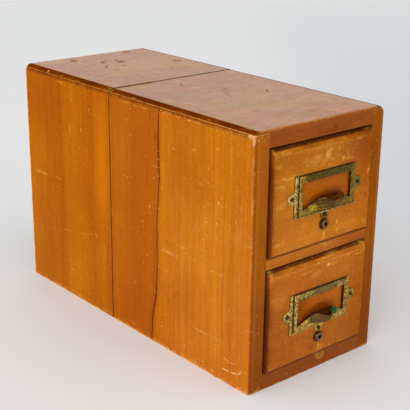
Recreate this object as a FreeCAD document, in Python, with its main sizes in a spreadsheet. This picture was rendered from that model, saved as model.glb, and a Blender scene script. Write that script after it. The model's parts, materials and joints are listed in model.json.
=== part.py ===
import FreeCAD, Part
import Sketcher
import os, math

# Two-drawer index card cabinet, millimetres.
# +Z is up, the drawers face -Y, X runs to the right as one faces the drawers.
# The origin is the middle of the case's footprint, on the underside of its base.

V = FreeCAD.Vector
doc = FreeCAD.newDocument("card_cabinet")

# ---------------------------------------------------------------- dimensions
sheet = doc.addObject("Spreadsheet::Sheet", "dims")
DIMENSIONS = [
    # case
    ("case_width", 193.6), ("case_depth", 431.0), ("case_height", 289.0),
    ("side_thick", 19.4), ("top_thick", 18.4), ("base_thick", 19.6),
    ("top_lip", 3.0), ("edge_round", 8.0), ("front_round_side", 3.5),
    ("front_round_top", 6.0),
    ("seam_setback", 247.0), ("seam_gap", 1.0), ("seam_arris", 0.5),
    ("tongue_thick", 5.0), ("tongue_long", 6.0), ("rear_top_rise", 0.5),
    ("split_deep", 3.2),
    ("rail_bottom", 139.0), ("rail_thick", 13.6), ("rail_deep", 45.0),
    ("runner_wide", 14.0), ("rear_rail_deep", 20.0),
    ("panel_thick", 6.0), ("panel_rebate", 7.0),
    ("stop_thick", 7.6), ("stop_wide", 50.0), ("stop_tall", 30.0), ("stop_raise", 45.0),
    # drawer boxes
    ("side_gap", 1.2), ("floor_gap", 0.1), ("front_lift", 0.8),
    ("upper_front_tall", 115.0), ("lower_front_tall", 116.2),
    ("front_thick", 20.0), ("front_proud", 4.5),
    ("bevel_top", 6.6), ("bevel_side", 3.4), ("bevel_low", 2.6), ("bevel_soft", 1.2),
    ("box_side_thick", 9.0), ("box_side_tall", 78.0), ("box_back_thick", 12.0),
    ("box_back_tall", 111.0), ("box_rear", 201.5),
    ("dovetail_long", 12.0), ("dovetail_base", 8.0), ("dovetail_tip", 10.0), ("dovetail_pitch", 26.0),
    ("ply_thick", 4.0), ("ply_raise", 7.0), ("ply_groove", 4.5),
    # card rod
    ("rod_raise", 21.6), ("rod_dia", 6.0), ("rod_play", 0.05), ("rod_head_dia", 10.4), ("rod_head_thick", 2.4),
    ("rod_socket_dia", 4.2), ("rod_socket_deep", 1.9), ("ferrule_dia", 9.0), ("ferrule_flange_dia", 12.8), ("ferrule_flange_thick", 1.3),
    ("bush_flange_dia", 14.0), ("bush_flange_thick", 1.5), ("rod_end", 200.5),
    # follower
    ("follower_wide", 128.0), ("follower_tall", 66.0), ("follower_base", 42.0), ("follower_top", 12.0),
    ("follower_lean", 14.0), ("follower_front", 142.5), ("follower_lift", 0.3),
    # label frame pulls
    ("upper_pull_height", 212.2), ("lower_pull_height", 79.3), ("fittings_right", 2.0),
    ("flange_wide", 91.4), ("flange_tall", 46.4), ("sheet_thick", 1.2),
    ("ring_wide", 82.0), ("ring_tall", 43.4), ("ring_rise", 1.3), ("ring_proud", 3.3),
    ("window_wide", 72.6), ("window_tall", 29.0), ("window_rise", 0.8),
    ("lug_round", 6.2), ("lug_offset", 50.0), ("lug_drop", 26.6), ("low_lug_round", 5.6),
    ("screw_hole", 2.6), ("screw_head", 4.4), ("screw_long", 13.0),
]
for row, (alias, value) in enumerate(DIMENSIONS, 1):
    sheet.set("A%d" % row, alias)
    sheet.set("B%d" % row, repr(value))
    sheet.setAlias("B%d" % row, alias)
doc.recompute()


class Size:
    """A length that knows its number and the sheet expression behind it."""

    def __init__(self, number, text):
        self.number, self.text = float(number), text

    def _pair(self, other):
        return other if isinstance(other, Size) else Size(other, repr(float(other)))

    def __add__(self, o):
        o = self._pair(o)
        return Size(self.number + o.number, "(%s + %s)" % (self.text, o.text))

    def __radd__(self, o):
        return self._pair(o) + self

    def __sub__(self, o):
        o = self._pair(o)
        return Size(self.number - o.number, "(%s - %s)" % (self.text, o.text))

    def __rsub__(self, o):
        return self._pair(o) - self

    def __mul__(self, o):
        o = self._pair(o)
        return Size(self.number * o.number, "(%s * %s)" % (self.text, o.text))

    def __rmul__(self, o):
        return self * o

    def __truediv__(self, o):
        o = self._pair(o)
        return Size(self.number / o.number, "(%s / %s)" % (self.text, o.text))

    def __neg__(self):
        return Size(-self.number, "(0 - %s)" % self.text)


def root(s):
    return Size(math.sqrt(s.number), "sqrt(%s)" % s.text)


def size(v):
    return v if isinstance(v, Size) else Size(v, repr(float(v)))


D = {alias: Size(value, "dims." + alias) for alias, value in DIMENSIONS}


def bind(obj, prop, s):
    s = size(s)
    obj.setExpression(prop, s.text)


def put(obj, x, y, z):
    """Place a sub-part by its own corner or axis point."""
    x, y, z = size(x), size(y), size(z)
    obj.Placement = FreeCAD.Placement(V(x.number, y.number, z.number), FreeCAD.Rotation())
    bind(obj, "Placement.Base.x", x)
    bind(obj, "Placement.Base.y", y)
    bind(obj, "Placement.Base.z", z)


def plane(body, role):
    for f in body.Origin.OriginFeatures:
        if f.Role == role:
            return f


def pin_point(sk, geo, pos, x, y):
    x, y = size(x), size(y)
    if abs(x.number) < 1e-9:
        sk.addConstraint(Sketcher.Constraint("PointOnObject", geo, pos, -2))
    else:
        c = sk.addConstraint(Sketcher.Constraint("DistanceX", -1, 1, geo, pos, x.number))
        sk.setExpression("Constraints[%d]" % c, x.text)
    if abs(y.number) < 1e-9:
        sk.addConstraint(Sketcher.Constraint("PointOnObject", geo, pos, -1))
    else:
        c = sk.addConstraint(Sketcher.Constraint("DistanceY", -1, 1, geo, pos, y.number))
        sk.setExpression("Constraints[%d]" % c, y.text)


def outline(sk, verts, arcs=None):
    """Closed outline through verts; arcs maps a side's index to (centre x, centre y, radius, ccw)."""
    arcs = arcs or {}
    n = len(verts)
    pts = [(size(x), size(y)) for x, y in verts]
    first = sk.GeometryCount
    ends = []
    for i in range(n):
        a, b = pts[i], pts[(i + 1) % n]
        if i in arcs:
            cx, cy, r, ccw = arcs[i][:4]
            cx, cy, r = size(cx).number, size(cy).number, size(r)
            ta = math.atan2(a[1].number - cy, a[0].number - cx)
            tb = math.atan2(b[1].number - cy, b[0].number - cx)
            circle = Part.Circle(V(cx, cy, 0), V(0, 0, 1), r.number)
            if ccw:
                sk.addGeometry(Part.ArcOfCircle(circle, ta, tb), False)
                ends.append((1, 2))
            else:
                sk.addGeometry(Part.ArcOfCircle(circle, tb, ta), False)
                ends.append((2, 1))
        else:
            sk.addGeometry(Part.LineSegment(V(a[0].number, a[1].number, 0), V(b[0].number, b[1].number, 0)), False)
            ends.append((1, 2))
    for i in range(n):
        j = (i + 1) % n
        sk.addConstraint(Sketcher.Constraint("Coincident", first + i, ends[i][1], first + j, ends[j][0]))
    for i in range(n):
        pin_point(sk, first + i, ends[i][0], pts[i][0], pts[i][1])
    for i, a in arcs.items():
        if len(a) > 4:
            # a half circle: its centre is held on the chord instead of its radius
            v = size(a[0] if a[4] == "x" else a[1])
            name = "DistanceX" if a[4] == "x" else "DistanceY"
            if abs(v.number) < 1e-9:
                sk.addConstraint(Sketcher.Constraint("PointOnObject", first + i, 3, -2 if a[4] == "x" else -1))
            else:
                c = sk.addConstraint(Sketcher.Constraint(name, -1, 1, first + i, 3, v.number))
                sk.setExpression("Constraints[%d]" % c, v.text)
        else:
            r = size(a[2])
            c = sk.addConstraint(Sketcher.Constraint("Radius", first + i, r.number))
            sk.setExpression("Constraints[%d]" % c, r.text)


def ring(sk, x, y, r):
    """Circle of radius r about (x, y)."""
    x, y, r = size(x), size(y), size(r)
    g = sk.addGeometry(Part.Circle(V(x.number, y.number, 0), V(0, 0, 1), r.number), False)
    pin_point(sk, g, 3, x, y)
    c = sk.addConstraint(Sketcher.Constraint("Radius", g, r.number))
    sk.setExpression("Constraints[%d]" % c, r.text)


def new_body(label):
    b = doc.addObject("PartDesign::Body", label)
    b.Label = label
    return b


def new_sketch(body, name, role, offset=None, along=None):
    sk = body.newObject("Sketcher::SketchObject", name)
    sk.AttachmentSupport = [(plane(body, role), "")]
    sk.MapMode = "FlatFace"
    if offset is not None:
        s = size(offset)
        sk.AttachmentOffset = FreeCAD.Placement(V(0, 0, s.number), FreeCAD.Rotation())
        sk.setExpression("AttachmentOffset.Base.z", s.text)
    return sk


def grow(body, sk, length, back=False, kind="PartDesign::Pad"):
    before = body.Shape.Volume if body.Tip is not None and not body.Shape.isNull() else 0.0
    f = body.newObject(kind, sk.Name + ("_pad" if kind.endswith("Pad") else "_pocket"))
    f.Profile = sk
    f.Length = size(length).number
    bind(f, "Length", length)
    f.Reversed = back
    sk.Visibility = False
    doc.recompute()
    if "Invalid" in f.State or f.Shape.isNull():
        raise ValueError("%s failed" % f.Name)
    after = f.Shape.Volume
    if kind.endswith("Pad") and after <= before:
        raise ValueError("pad %s adds nothing" % f.Name)
    if kind.endswith("Pocket") and after >= before - 1e-6:
        raise ValueError("pocket %s cuts nothing" % f.Name)
    return f


def sink(body, sk, length, back=False):
    return grow(body, sk, length, back, "PartDesign::Pocket")


def box_outline(sk, x0, y0, x1, y1):
    outline(sk, [(x0, y0), (x1, y0), (x1, y1), (x0, y1)])


def edges_where(shape, test):
    names = []
    for i, e in enumerate(shape.Edges, 1):
        if test(e):
            names.append("Edge%d" % i)
    return names


def both(e, test):
    return all(test(v.Point) for v in e.Vertexes) and len(e.Vertexes) > 0


def near(a, b, tol=1e-3):
    return abs(a - b) < tol


def dress(body, kind, amount, test, amount2=None):
    base = body.Tip
    names = edges_where(base.Shape, test)
    if not names:
        raise ValueError("no edge to dress on " + body.Label)
    f = body.newObject("PartDesign::" + kind, base.Name + "_" + kind.lower())
    f.Base = (base, names)
    prop = "Radius" if kind == "Fillet" else "Size"
    bind(f, prop, amount)
    doc.recompute()
    return f


# ---------------------------------------------------------------- common numbers
HALF_W = D["case_width"] / 2
HALF_D = D["case_depth"] / 2
INNER = HALF_W - D["side_thick"]                 # inner face of a side panel
SIDE_TALL = D["case_height"] - D["top_lip"]
UNDER_TOP = D["case_height"] - D["top_thick"]
FRONT_LONG = D["seam_setback"] - D["seam_gap"] / 2
REAR_LONG = D["case_depth"] - D["seam_setback"] - D["seam_gap"] / 2
REAR_START = -HALF_D + D["seam_setback"] + D["seam_gap"] / 2
R = D["edge_round"]
LIP_IN = R - root(R * R - (R - D["top_lip"]) * (R - D["top_lip"]))   # how far the rounding has come in at the lip joint
T = D["side_thick"]

parts = {}

# ---------------------------------------------------------------- side panels
# Each side is two upright boards, tongued together along a vertical seam.


def side_board(label, left, front):
    b = new_body(label)
    sk = new_sketch(b, label + "_end", "XZ_Plane")
    if left:
        verts = [(0, 0), (T, 0), (T, SIDE_TALL), (LIP_IN, SIDE_TALL), (0, D["case_height"] - R)]
        arcs = {3: (R, D["case_height"] - R, R, True)}
    else:
        verts = [(0, 0), (T, 0), (T, D["case_height"] - R), (T - LIP_IN, SIDE_TALL), (0, SIDE_TALL)]
        arcs = {2: (T - R, D["case_height"] - R, R, True)}
    outline(sk, verts, arcs)
    long = FRONT_LONG if front else REAR_LONG
    grow(b, sk, long, back=True)
    mid0, mid1 = (T - D["tongue_thick"]) / 2, (T + D["tongue_thick"]) / 2
    if front:
        g = new_sketch(b, label + "_groove", "XZ_Plane", offset=-long)
        box_outline(g, mid0, 0, mid1, SIDE_TALL)
        sink(b, g, D["tongue_long"] + 0.5, back=True)
    else:
        t = new_sketch(b, label + "_tongue", "XZ_Plane")
        box_outline(t, mid0, 0, mid1, SIDE_TALL)
        grow(b, t, D["tongue_long"], back=False)
        # rebate for the back panel, stopped top and bottom
        r = new_sketch(b, label + "_rebate", "XZ_Plane", offset=-long)
        z0 = D["base_thick"] - D["panel_rebate"]
        z1 = UNDER_TOP + D["panel_rebate"]
        if left:
            box_outline(r, T - D["panel_rebate"], z0, T, z1)
        else:
            box_outline(r, 0, z0, D["panel_rebate"], z1)
        sink(b, r, D["panel_thick"], back=True)
    # eased arrises along the seam on the outer face
    xo = 0.0 if left else T.number
    ys = long.number if front else 0.0
    dress(b, "Fillet", D["seam_arris"],
          lambda e: both(e, lambda p: near(p.x, xo) and near(p.y, ys)))
    put(b, -HALF_W if left else INNER, -HALF_D if front else REAR_START, 0)
    doc.recompute()
    return b


# The front of the case has one continuous softened outline that runs over sides and top alike,
# so it is made once, as a solid, and each front board is what it shares with that solid.
outer = new_body("case_front_outline")
sk = new_sketch(outer, "case_front_outline_end", "XZ_Plane")
CW, CH = D["case_width"], D["case_height"]
outline(sk, [(0, 0), (CW, 0), (CW, CH - R), (CW - R, CH), (R, CH), (0, CH - R)],
        {2: (CW - R, CH - R, R, True), 4: (R, CH - R, R, True)})
grow(outer, sk, FRONT_LONG + 1, back=True)
put(outer, -HALF_W, -HALF_D, 0)
doc.recompute()
soft = doc.addObject("Part::Fillet", "case_front_outline_soft")
soft.Base = outer
rs, rt_ = D["front_round_side"].number, D["front_round_top"].number
zc, zt, yf, xw = (CH - R).number, CH.number, -HALF_D.number, HALF_W.number
rows = []
for i, e in enumerate(outer.Shape.Edges, 1):
    ends = [v.Point for v in e.Vertexes]
    if len(ends) != 2 or not all(near(p.y, yf) for p in ends):
        continue
    zs = sorted(p.z for p in ends)
    if near(zs[0], 0) and near(zs[1], 0):
        continue
    if near(zs[0], zt):
        rows.append((i, rt_, rt_))
    elif near(zs[1], zt):
        first = e.valueAt(e.FirstParameter)
        rows.append((i, rs, rt_) if near(first.z, zc) else (i, rt_, rs))
    else:
        rows.append((i, rs, rs))
soft.Edges = rows
doc.recompute()
if "Invalid" in soft.State or soft.Shape.isNull():
    raise RuntimeError("the case outline could not be softened")


def within_outline(label, board):
    c = doc.addObject("Part::Common", label)
    c.Label = label
    c.Base = board
    c.Tool = soft
    doc.recompute()
    return c


lf = side_board("left_side_front_board_blank", True, True)
# an old drying split in the outer face, from the top edge to the foot
SPLIT = [(152.7, 288.0, 0.35), (153.6, 267.1, 0.50), (154.3, 247.1, 1.00), (153.6, 225.1, 0.60), (152.7, 203.1, 0.45), (155.0, 179.1, 0.60), (157.0, 156.1, 0.75), (157.2, 124.1, 0.50), (157.1, 92.0, 0.70), (159.5, 63.0, 0.60), (163.0, 46.0, 0.80), (165.9, 33.0, 0.90), (167.6, 14.0, 0.75), (168.9, -1.0, 0.60)]
sp = new_sketch(lf, "left_side_split", "YZ_Plane")
ring_pts = [(y - w / 2, z) for y, z, w in SPLIT] + [(y + w / 2, z) for y, z, w in reversed(SPLIT)]
n = len(ring_pts)
g0 = sp.GeometryCount
for i in range(n):
    a, b_ = ring_pts[i], ring_pts[(i + 1) % n]
    sp.addGeometry(Part.LineSegment(V(a[0], a[1], 0), V(b_[0], b_[1], 0)), False)
for i in range(n):
    sp.addConstraint(Sketcher.Constraint("Coincident", g0 + i, 2, g0 + (i + 1) % n, 1))
    sp.addConstraint(Sketcher.Constraint("Block", g0 + i))
sink(lf, sp, D["split_deep"], back=True)
parts["left_side_front_board"] = within_outline("left_side_front_board", lf)
parts["left_side_rear_board"] = side_board("left_side_rear_board", True, False)
rf = side_board("right_side_front_board_blank", False, True)
parts["right_side_front_board"] = within_outline("right_side_front_board", rf)
parts["right_side_rear_board"] = side_board("right_side_rear_board", False, False)

# ---------------------------------------------------------------- top
# Two boards with the grain across, lapped over the sides by a thin lip.


def top_board(label, front):
    b = new_body(label)
    W = D["case_width"]
    lift = size(0) if front else D["rear_top_rise"]
    H0 = D["top_thick"] + lift
    lip0 = D["top_thick"] - D["top_lip"]
    sk = new_sketch(b, label + "_end", "XZ_Plane")
    verts = [(T, 0), (W - T, 0), (W - T, lip0), (W - LIP_IN, lip0), (W - R, H0), (R, H0), (LIP_IN, lip0), (T, lip0)]
    if front:
        cy, rr = H0 - R, R
        arcs = {3: (W - R, cy, rr, True), 5: (R, cy, rr, True)}
        outline(sk, verts, arcs)
    else:
        # the thicker rear board keeps the same lower end of its rounding
        h = (H0 - lip0).number
        w_ = (R - LIP_IN).number
        rr = (h * h + w_ * w_) / (2 * h)
        RR = ((H0 - lip0) * (H0 - lip0) + (R - LIP_IN) * (R - LIP_IN)) / (2 * (H0 - lip0))
        arcs = {3: (W - R, H0 - RR, RR, True), 5: (R, H0 - RR, RR, True)}
        outline(sk, verts, arcs)
    long = FRONT_LONG if front else REAR_LONG
    grow(b, sk, long, back=True)
    mid = D["top_thick"] / 2 - 1.5
    if front:
        g = new_sketch(b, label + "_groove", "XZ_Plane", offset=-long)
        box_outline(g, T, mid - D["tongue_thick"] / 2, W - T, mid + D["tongue_thick"] / 2)
        sink(b, g, D["tongue_long"] + 0.5, back=True)
    else:
        t = new_sketch(b, label + "_tongue", "XZ_Plane")
        box_outline(t, T, mid - D["tongue_thick"] / 2, W - T, mid + D["tongue_thick"] / 2)
        grow(b, t, D["tongue_long"], back=False)
        r = new_sketch(b, label + "_rebate", "XZ_Plane", offset=-long)
        box_outline(r, T, 0, W - T, D["panel_rebate"])
        sink(b, r, D["panel_thick"], back=True)
    ys = long.number if front else 0.0
    ztop = H0.number
    dress(b, "Fillet", D["seam_arris"],
          lambda e: both(e, lambda p: near(p.y, ys) and near(p.z, ztop)))
    put(b, -HALF_W, -HALF_D if front else REAR_START, UNDER_TOP)
    doc.recompute()
    return b


tf = top_board("top_front_board_blank", True)
parts["top_front_board"] = within_outline("top_front_board", tf)
parts["top_rear_board"] = top_board("top_rear_board", False)

# ---------------------------------------------------------------- base


def base_board(label, front):
    b = new_body(label)
    W = INNER * 2
    sk = new_sketch(b, label + "_end", "XZ_Plane")
    box_outline(sk, 0, 0, W, D["base_thick"])
    long = FRONT_LONG if front else REAR_LONG
    grow(b, sk, long, back=True)
    mid = D["base_thick"] / 2
    if front:
        g = new_sketch(b, label + "_groove", "XZ_Plane", offset=-long)
        box_outline(g, 0, mid - D["tongue_thick"] / 2, W, mid + D["tongue_thick"] / 2)
        sink(b, g, D["tongue_long"] + 0.5, back=True)
        dress(b, "Fillet", 0.8,
              lambda e: both(e, lambda p: near(p.y, 0)) and both(e, lambda p: near(p.z, D["base_thick"].number)))
    else:
        t = new_sketch(b, label + "_tongue", "XZ_Plane")
        box_outline(t, 0, mid - D["tongue_thick"] / 2, W, mid + D["tongue_thick"] / 2)
        grow(b, t, D["tongue_long"], back=False)
        r = new_sketch(b, label + "_rebate", "XZ_Plane", offset=-long)
        box_outline(r, 0, D["base_thick"] - D["panel_rebate"], W, D["base_thick"])
        sink(b, r, D["panel_thick"], back=True)
    put(b, -INNER, -HALF_D if front else REAR_START, 0)
    doc.recompute()
    return b


parts["bottom_front_board"] = base_board("bottom_front_board", True)
parts["bottom_rear_board"] = base_board("bottom_rear_board", False)

# ---------------------------------------------------------------- rail, runners, back


def plain_box(label, x0, y0, z0, dx, dy, dz):
    b = doc.addObject("Part::Box", label)
    b.Label = label
    bind(b, "Length", dx)
    bind(b, "Width", dy)
    bind(b, "Height", dz)
    put(b, x0, y0, z0)
    doc.recompute()
    return b


rail = new_body("divider_rail")
sk = new_sketch(rail, "divider_rail_end", "XZ_Plane")
box_outline(sk, 0, 0, INNER * 2, D["rail_thick"])
grow(rail, sk, D["rail_deep"], back=True)
dress(rail, "Fillet", 0.7, lambda e: both(e, lambda p: near(p.y, 0)) and abs(e.Vertexes[0].Point.z - e.Vertexes[-1].Point.z) < 1e-6)
put(rail, -INNER, -HALF_D, D["rail_bottom"])
parts["divider_rail"] = rail

RUN_START = -HALF_D + D["rail_deep"]
RUN_LONG = D["case_depth"] - D["rail_deep"] - D["panel_thick"]
parts["left_runner"] = plain_box("left_runner", -INNER, RUN_START, D["rail_bottom"], D["runner_wide"], RUN_LONG, D["rail_thick"])
parts["right_runner"] = plain_box("right_runner", INNER - D["runner_wide"], RUN_START, D["rail_bottom"], D["runner_wide"], RUN_LONG, D["rail_thick"])
PANEL_FRONT = HALF_D - D["panel_thick"]
parts["divider_rear_rail"] = plain_box("divider_rear_rail", -INNER + D["runner_wide"], PANEL_FRONT - D["rear_rail_deep"], D["rail_bottom"],
                                       (INNER - D["runner_wide"]) * 2, D["rear_rail_deep"], D["rail_thick"])

panel = new_body("back_panel")
sk = new_sketch(panel, "back_panel_face", "XZ_Plane")
box_outline(sk, 0, 0, (INNER + D["panel_rebate"]) * 2, UNDER_TOP - D["base_thick"] + D["panel_rebate"] * 2)
grow(panel, sk, D["panel_thick"], back=True)
put(panel, -INNER - D["panel_rebate"], PANEL_FRONT, D["base_thick"] - D["panel_rebate"])
parts["back_panel"] = panel

UPPER_FLOOR = D["rail_bottom"] + D["rail_thick"]
LOWER_FLOOR = D["base_thick"]
for name, floor in (("upper", UPPER_FLOOR), ("lower", LOWER_FLOOR)):
    parts[name + "_drawer_stop"] = plain_box(name + "_drawer_stop", -D["stop_wide"] / 2, PANEL_FRONT - D["stop_thick"],
                                             floor + D["stop_raise"], D["stop_wide"], D["stop_thick"], D["stop_tall"])


def screw_shape(head_d, shank_d, long, dome=0.0):
    """Countersunk slotted wood screw along +Y, its head's face at y = 0."""
    k = (head_d - shank_d) / 2
    pts = [V(0, 0, 0), V(head_d / 2, 0, 0), V(head_d / 2, 0.25, 0), V(shank_d / 2, 0.25 + k, 0),
           V(shank_d / 2, long - shank_d, 0), V(0, long, 0), V(0, 0, 0)]
    face = Part.Face(Part.makePolygon(pts))
    body = face.revolve(V(0, 0, 0), V(0, 1, 0), 360)
    slot = Part.makeBox(head_d + 1, 0.5, 0.7, V(-(head_d + 1) / 2, -0.01, -0.35))
    return body.cut(slot)


def turned(shape, angle):
    s = shape.copy()
    s.rotate(V(0, 0, 0), V(0, 1, 0), angle)
    return s


# back panel screws, heads just under the panel's rear face
rows = []
px, pz0, pz1 = INNER.number + 3.5, (D["base_thick"] - D["panel_rebate"]).number + 3.5, (UNDER_TOP + D["panel_rebate"]).number - 3.5
spots = [(-px, z) for z in (pz0 + 12, (pz0 + pz1) / 2, pz1 - 12)] + [(px, z) for z in (pz0 + 12, (pz0 + pz1) / 2, pz1 - 12)] \
    + [(x, pz1) for x in (-40.0, 40.0)] + [(x, pz0) for x in (-40.0, 40.0)]
screw = screw_shape(5.2, 2.8, 16.0)
screw.rotate(V(0, 0, 0), V(0, 0, 1), 180)
for i, (x, z) in enumerate(spots):
    s = turned(screw, 23 * i)
    s.translate(V(x, HALF_D.number + 0.0, z))
    rows.append(s)
bs = doc.addObject("Part::Feature", "back_panel_screws")
bs.Label = "back_panel_screws"
bs.Shape = Part.makeCompound(rows)
parts["back_panel_screws"] = bs
panel_holes = rows

# ---------------------------------------------------------------- drawers


def tails(y_base, y_tip, z_low):
    """Corner points of the three dovetails, base towards y_base, tips at y_tip."""
    out = []
    for k in range(3):
        zc_ = z_low + D["dovetail_pitch"] * (k + 0.5)
        out.append([(y_base, zc_ - D["dovetail_base"]), (y_tip, zc_ - D["dovetail_tip"]),
                    (y_tip, zc_ + D["dovetail_tip"]), (y_base, zc_ + D["dovetail_base"])])
    return out


def drawer(name, floor, tall, pull_height):
    half = INNER - D["side_gap"]                    # half width of front and box
    face = -HALF_D - D["front_proud"]               # y of the drawer front's face
    back_of_front = face + D["front_thick"]
    low = floor + D["floor_gap"]                    # underside of the drawer sides
    fz = floor + D["front_lift"]                    # underside of the drawer front
    rod_z = fz + D["rod_raise"]
    off = D["fittings_right"]                       # the rod and the pull sit a little right of the middle
    lab = name + "_drawer_"

    # --- front
    b = new_body(lab + "front")
    sk = new_sketch(b, lab + "front_face", "XZ_Plane")
    W = half * 2
    box_outline(sk, 0, 0, W, tall)
    grow(b, sk, D["front_thick"], back=True)
    h, w = tall.number, W.number
    dress(b, "Chamfer", D["bevel_top"], lambda e: both(e, lambda p: near(p.y, 0) and near(p.z, h)))
    dress(b, "Chamfer", D["bevel_side"], lambda e: both(e, lambda p: near(p.y, 0) and (near(p.x, 0) or near(p.x, w)))
          and abs(e.Vertexes[0].Point.z - e.Vertexes[-1].Point.z) > 20)
    dress(b, "Chamfer", D["bevel_low"], lambda e: both(e, lambda p: near(p.y, 0) and near(p.z, 0))
          and abs(e.Vertexes[0].Point.x - e.Vertexes[-1].Point.x) > 20)
    # sockets for the side's dovetails
    ds = size(low - fz)
    for side, x_at in (("left", size(0)), ("right", W)):
        for k, pts in enumerate(tails(D["front_thick"], D["front_thick"] - D["dovetail_long"], ds)):
            t = new_sketch(b, "%sfront_socket_%s_%d" % (lab, side, k), "YZ_Plane", offset=x_at if side == "right" else None)
            outline(t, pts)
            sink(b, t, D["box_side_thick"], back=(side == "left"))
    # groove for the bottom panel
    g = new_sketch(b, lab + "front_groove", "XZ_Plane", offset=-D["front_thick"])
    gz = low - fz + D["ply_raise"]
    gx = D["box_side_thick"] - D["ply_groove"]
    box_outline(g, gx, gz, W - gx, gz + D["ply_thick"])
    sink(b, g, D["ply_groove"] + 0.5, back=True)
    hole = new_sketch(b, lab + "front_rod_hole", "XZ_Plane", offset=-D["front_thick"])
    ring(hole, half + off, D["rod_raise"], D["ferrule_dia"] / 2)
    sink(b, hole, D["front_thick"] + 1, back=True)
    put(b, -half, face, fz)
    parts[lab + "front"] = b

    # --- sides
    tip = back_of_front - D["dovetail_long"]
    long = D["box_rear"] - tip
    for side in ("left", "right"):
        s = new_body(lab + side + "_side")
        sk = new_sketch(s, lab + side + "_side_face", "YZ_Plane")
        verts = [(D["dovetail_long"], 0)]
        for pts in tails(D["dovetail_long"], size(0), size(0)):
            verts += pts
        verts += [(D["dovetail_long"], D["box_side_tall"]), (long, D["box_side_tall"]), (long, 0)]
        outline(sk, verts)
        grow(s, sk, D["box_side_thick"])
        x_out = D["box_side_thick"] if side == "left" else size(0)
        g = new_sketch(s, lab + side + "_side_groove", "YZ_Plane", offset=x_out if side == "left" else None)
        box_outline(g, D["dovetail_long"] - D["ply_groove"], D["ply_raise"], long, D["ply_raise"] + D["ply_thick"])
        sink(s, g, D["ply_groove"], back=(side == "right"))
        L, tt = long.number, D["box_side_tall"].number
        dress(s, "Fillet", 1.5, lambda e: both(e, lambda p: near(p.z, tt)) and abs(e.Vertexes[0].Point.y - e.Vertexes[-1].Point.y) > 50)
        put(s, -half if side == "left" else half - D["box_side_thick"], tip, low)
        parts[lab + side + "_side"] = s

    # --- bottom, slid in from the rear under the back
    inner = half - D["box_side_thick"]
    ply_front = back_of_front - D["ply_groove"]
    parts[lab + "bottom"] = plain_box(lab + "bottom", -inner - D["ply_groove"], ply_front, low + D["ply_raise"],
                                      (inner + D["ply_groove"]) * 2, D["box_rear"] - ply_front, D["ply_thick"])

    # --- back
    bk = new_body(lab + "back")
    sk = new_sketch(bk, lab + "back_face", "XZ_Plane")
    card_floor = low + D["ply_raise"] + D["ply_thick"]
    bt = D["box_back_tall"] - D["ply_raise"] - D["ply_thick"]
    box_outline(sk, 0, 0, inner * 2, bt)
    grow(bk, sk, D["box_back_thick"], back=True)
    hole = new_sketch(bk, lab + "back_rod_hole", "XZ_Plane", offset=-D["box_back_thick"])
    ring(hole, inner + off, rod_z - card_floor, D["ferrule_dia"] / 2)
    sink(bk, hole, D["box_back_thick"] + 1, back=True)
    bth = bt.number
    dress(bk, "Fillet", 8.0, lambda e: abs(e.Vertexes[0].Point.y - e.Vertexes[-1].Point.y) > 5 and both(e, lambda p: near(p.z, bth)))
    put(bk, -inner, D["box_rear"] - D["box_back_thick"], card_floor)
    parts[lab + "back"] = bk

    # --- rod ferrule in the front: flange on the face, sleeve through the wood
    bore = D["rod_dia"] / 2 + D["rod_play"]
    fe = new_body(name + "_rod_ferrule")
    sk = new_sketch(fe, name + "_ferrule_section", "XY_Plane")
    ft, fd, fr = D["ferrule_flange_thick"], D["ferrule_flange_dia"] / 2, D["ferrule_dia"] / 2
    outline(sk, [(bore, -ft), (fd - 0.6, -ft), (fd, -ft + 0.6), (fd, 0), (fr, 0), (fr, D["front_thick"]), (bore, D["front_thick"])])
    rev = fe.newObject("PartDesign::Revolution", name + "_ferrule_turned")
    rev.Profile = sk
    rev.ReferenceAxis = (sk, ["V_Axis"])
    rev.Angle = 360
    doc.recompute()
    put(fe, off, face, rod_z)
    parts[name + "_rod_ferrule"] = fe

    # --- rear bush in the back: flange inside
    bu = new_body(name + "_rod_bush")
    sk = new_sketch(bu, name + "_bush_section", "XY_Plane")
    bt_, bd = D["bush_flange_thick"], D["bush_flange_dia"] / 2
    outline(sk, [(bore, -bt_), (bd - 0.5, -bt_), (bd, -bt_ + 0.5), (bd, 0), (fr, 0), (fr, D["box_back_thick"]), (bore, D["box_back_thick"])])
    rev = bu.newObject("PartDesign::Revolution", name + "_bush_turned")
    rev.Profile = sk
    rev.ReferenceAxis = (sk, ["V_Axis"])
    rev.Angle = 360
    doc.recompute()
    put(bu, off, D["box_rear"] - D["box_back_thick"], rod_z)
    parts[name + "_rod_bush"] = bu

    # --- rod with its turned head and blind socket
    ro = new_body(name + "_guide_rod")
    sk = new_sketch(ro, name + "_rod_section", "XY_Plane")
    hd, ht, rr = D["rod_head_dia"] / 2, D["rod_head_thick"], D["rod_dia"] / 2
    sr, sd = D["rod_socket_dia"] / 2, D["rod_socket_deep"]
    total = D["rod_end"] - (face - D["ferrule_flange_thick"] - 0.05)     # shaft from the head's rear face
    outline(sk, [(0, -ht + sd), (sr, -ht + sd), (sr, -ht), (hd - 1.1, -ht), (hd - 0.3, -ht + 0.5), (hd, -ht + 1.4), (hd, 0), (rr, 0),
                 (rr, total - 2), (rr - 1.6, total), (0, total)])
    rev = ro.newObject("PartDesign::Revolution", name + "_rod_turned")
    rev.Profile = sk
    rev.ReferenceAxis = (sk, ["V_Axis"])
    rev.Angle = 360
    doc.recompute()
    put(ro, off, face - D["ferrule_flange_thick"] - 0.05, rod_z)
    parts[name + "_guide_rod"] = ro

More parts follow.
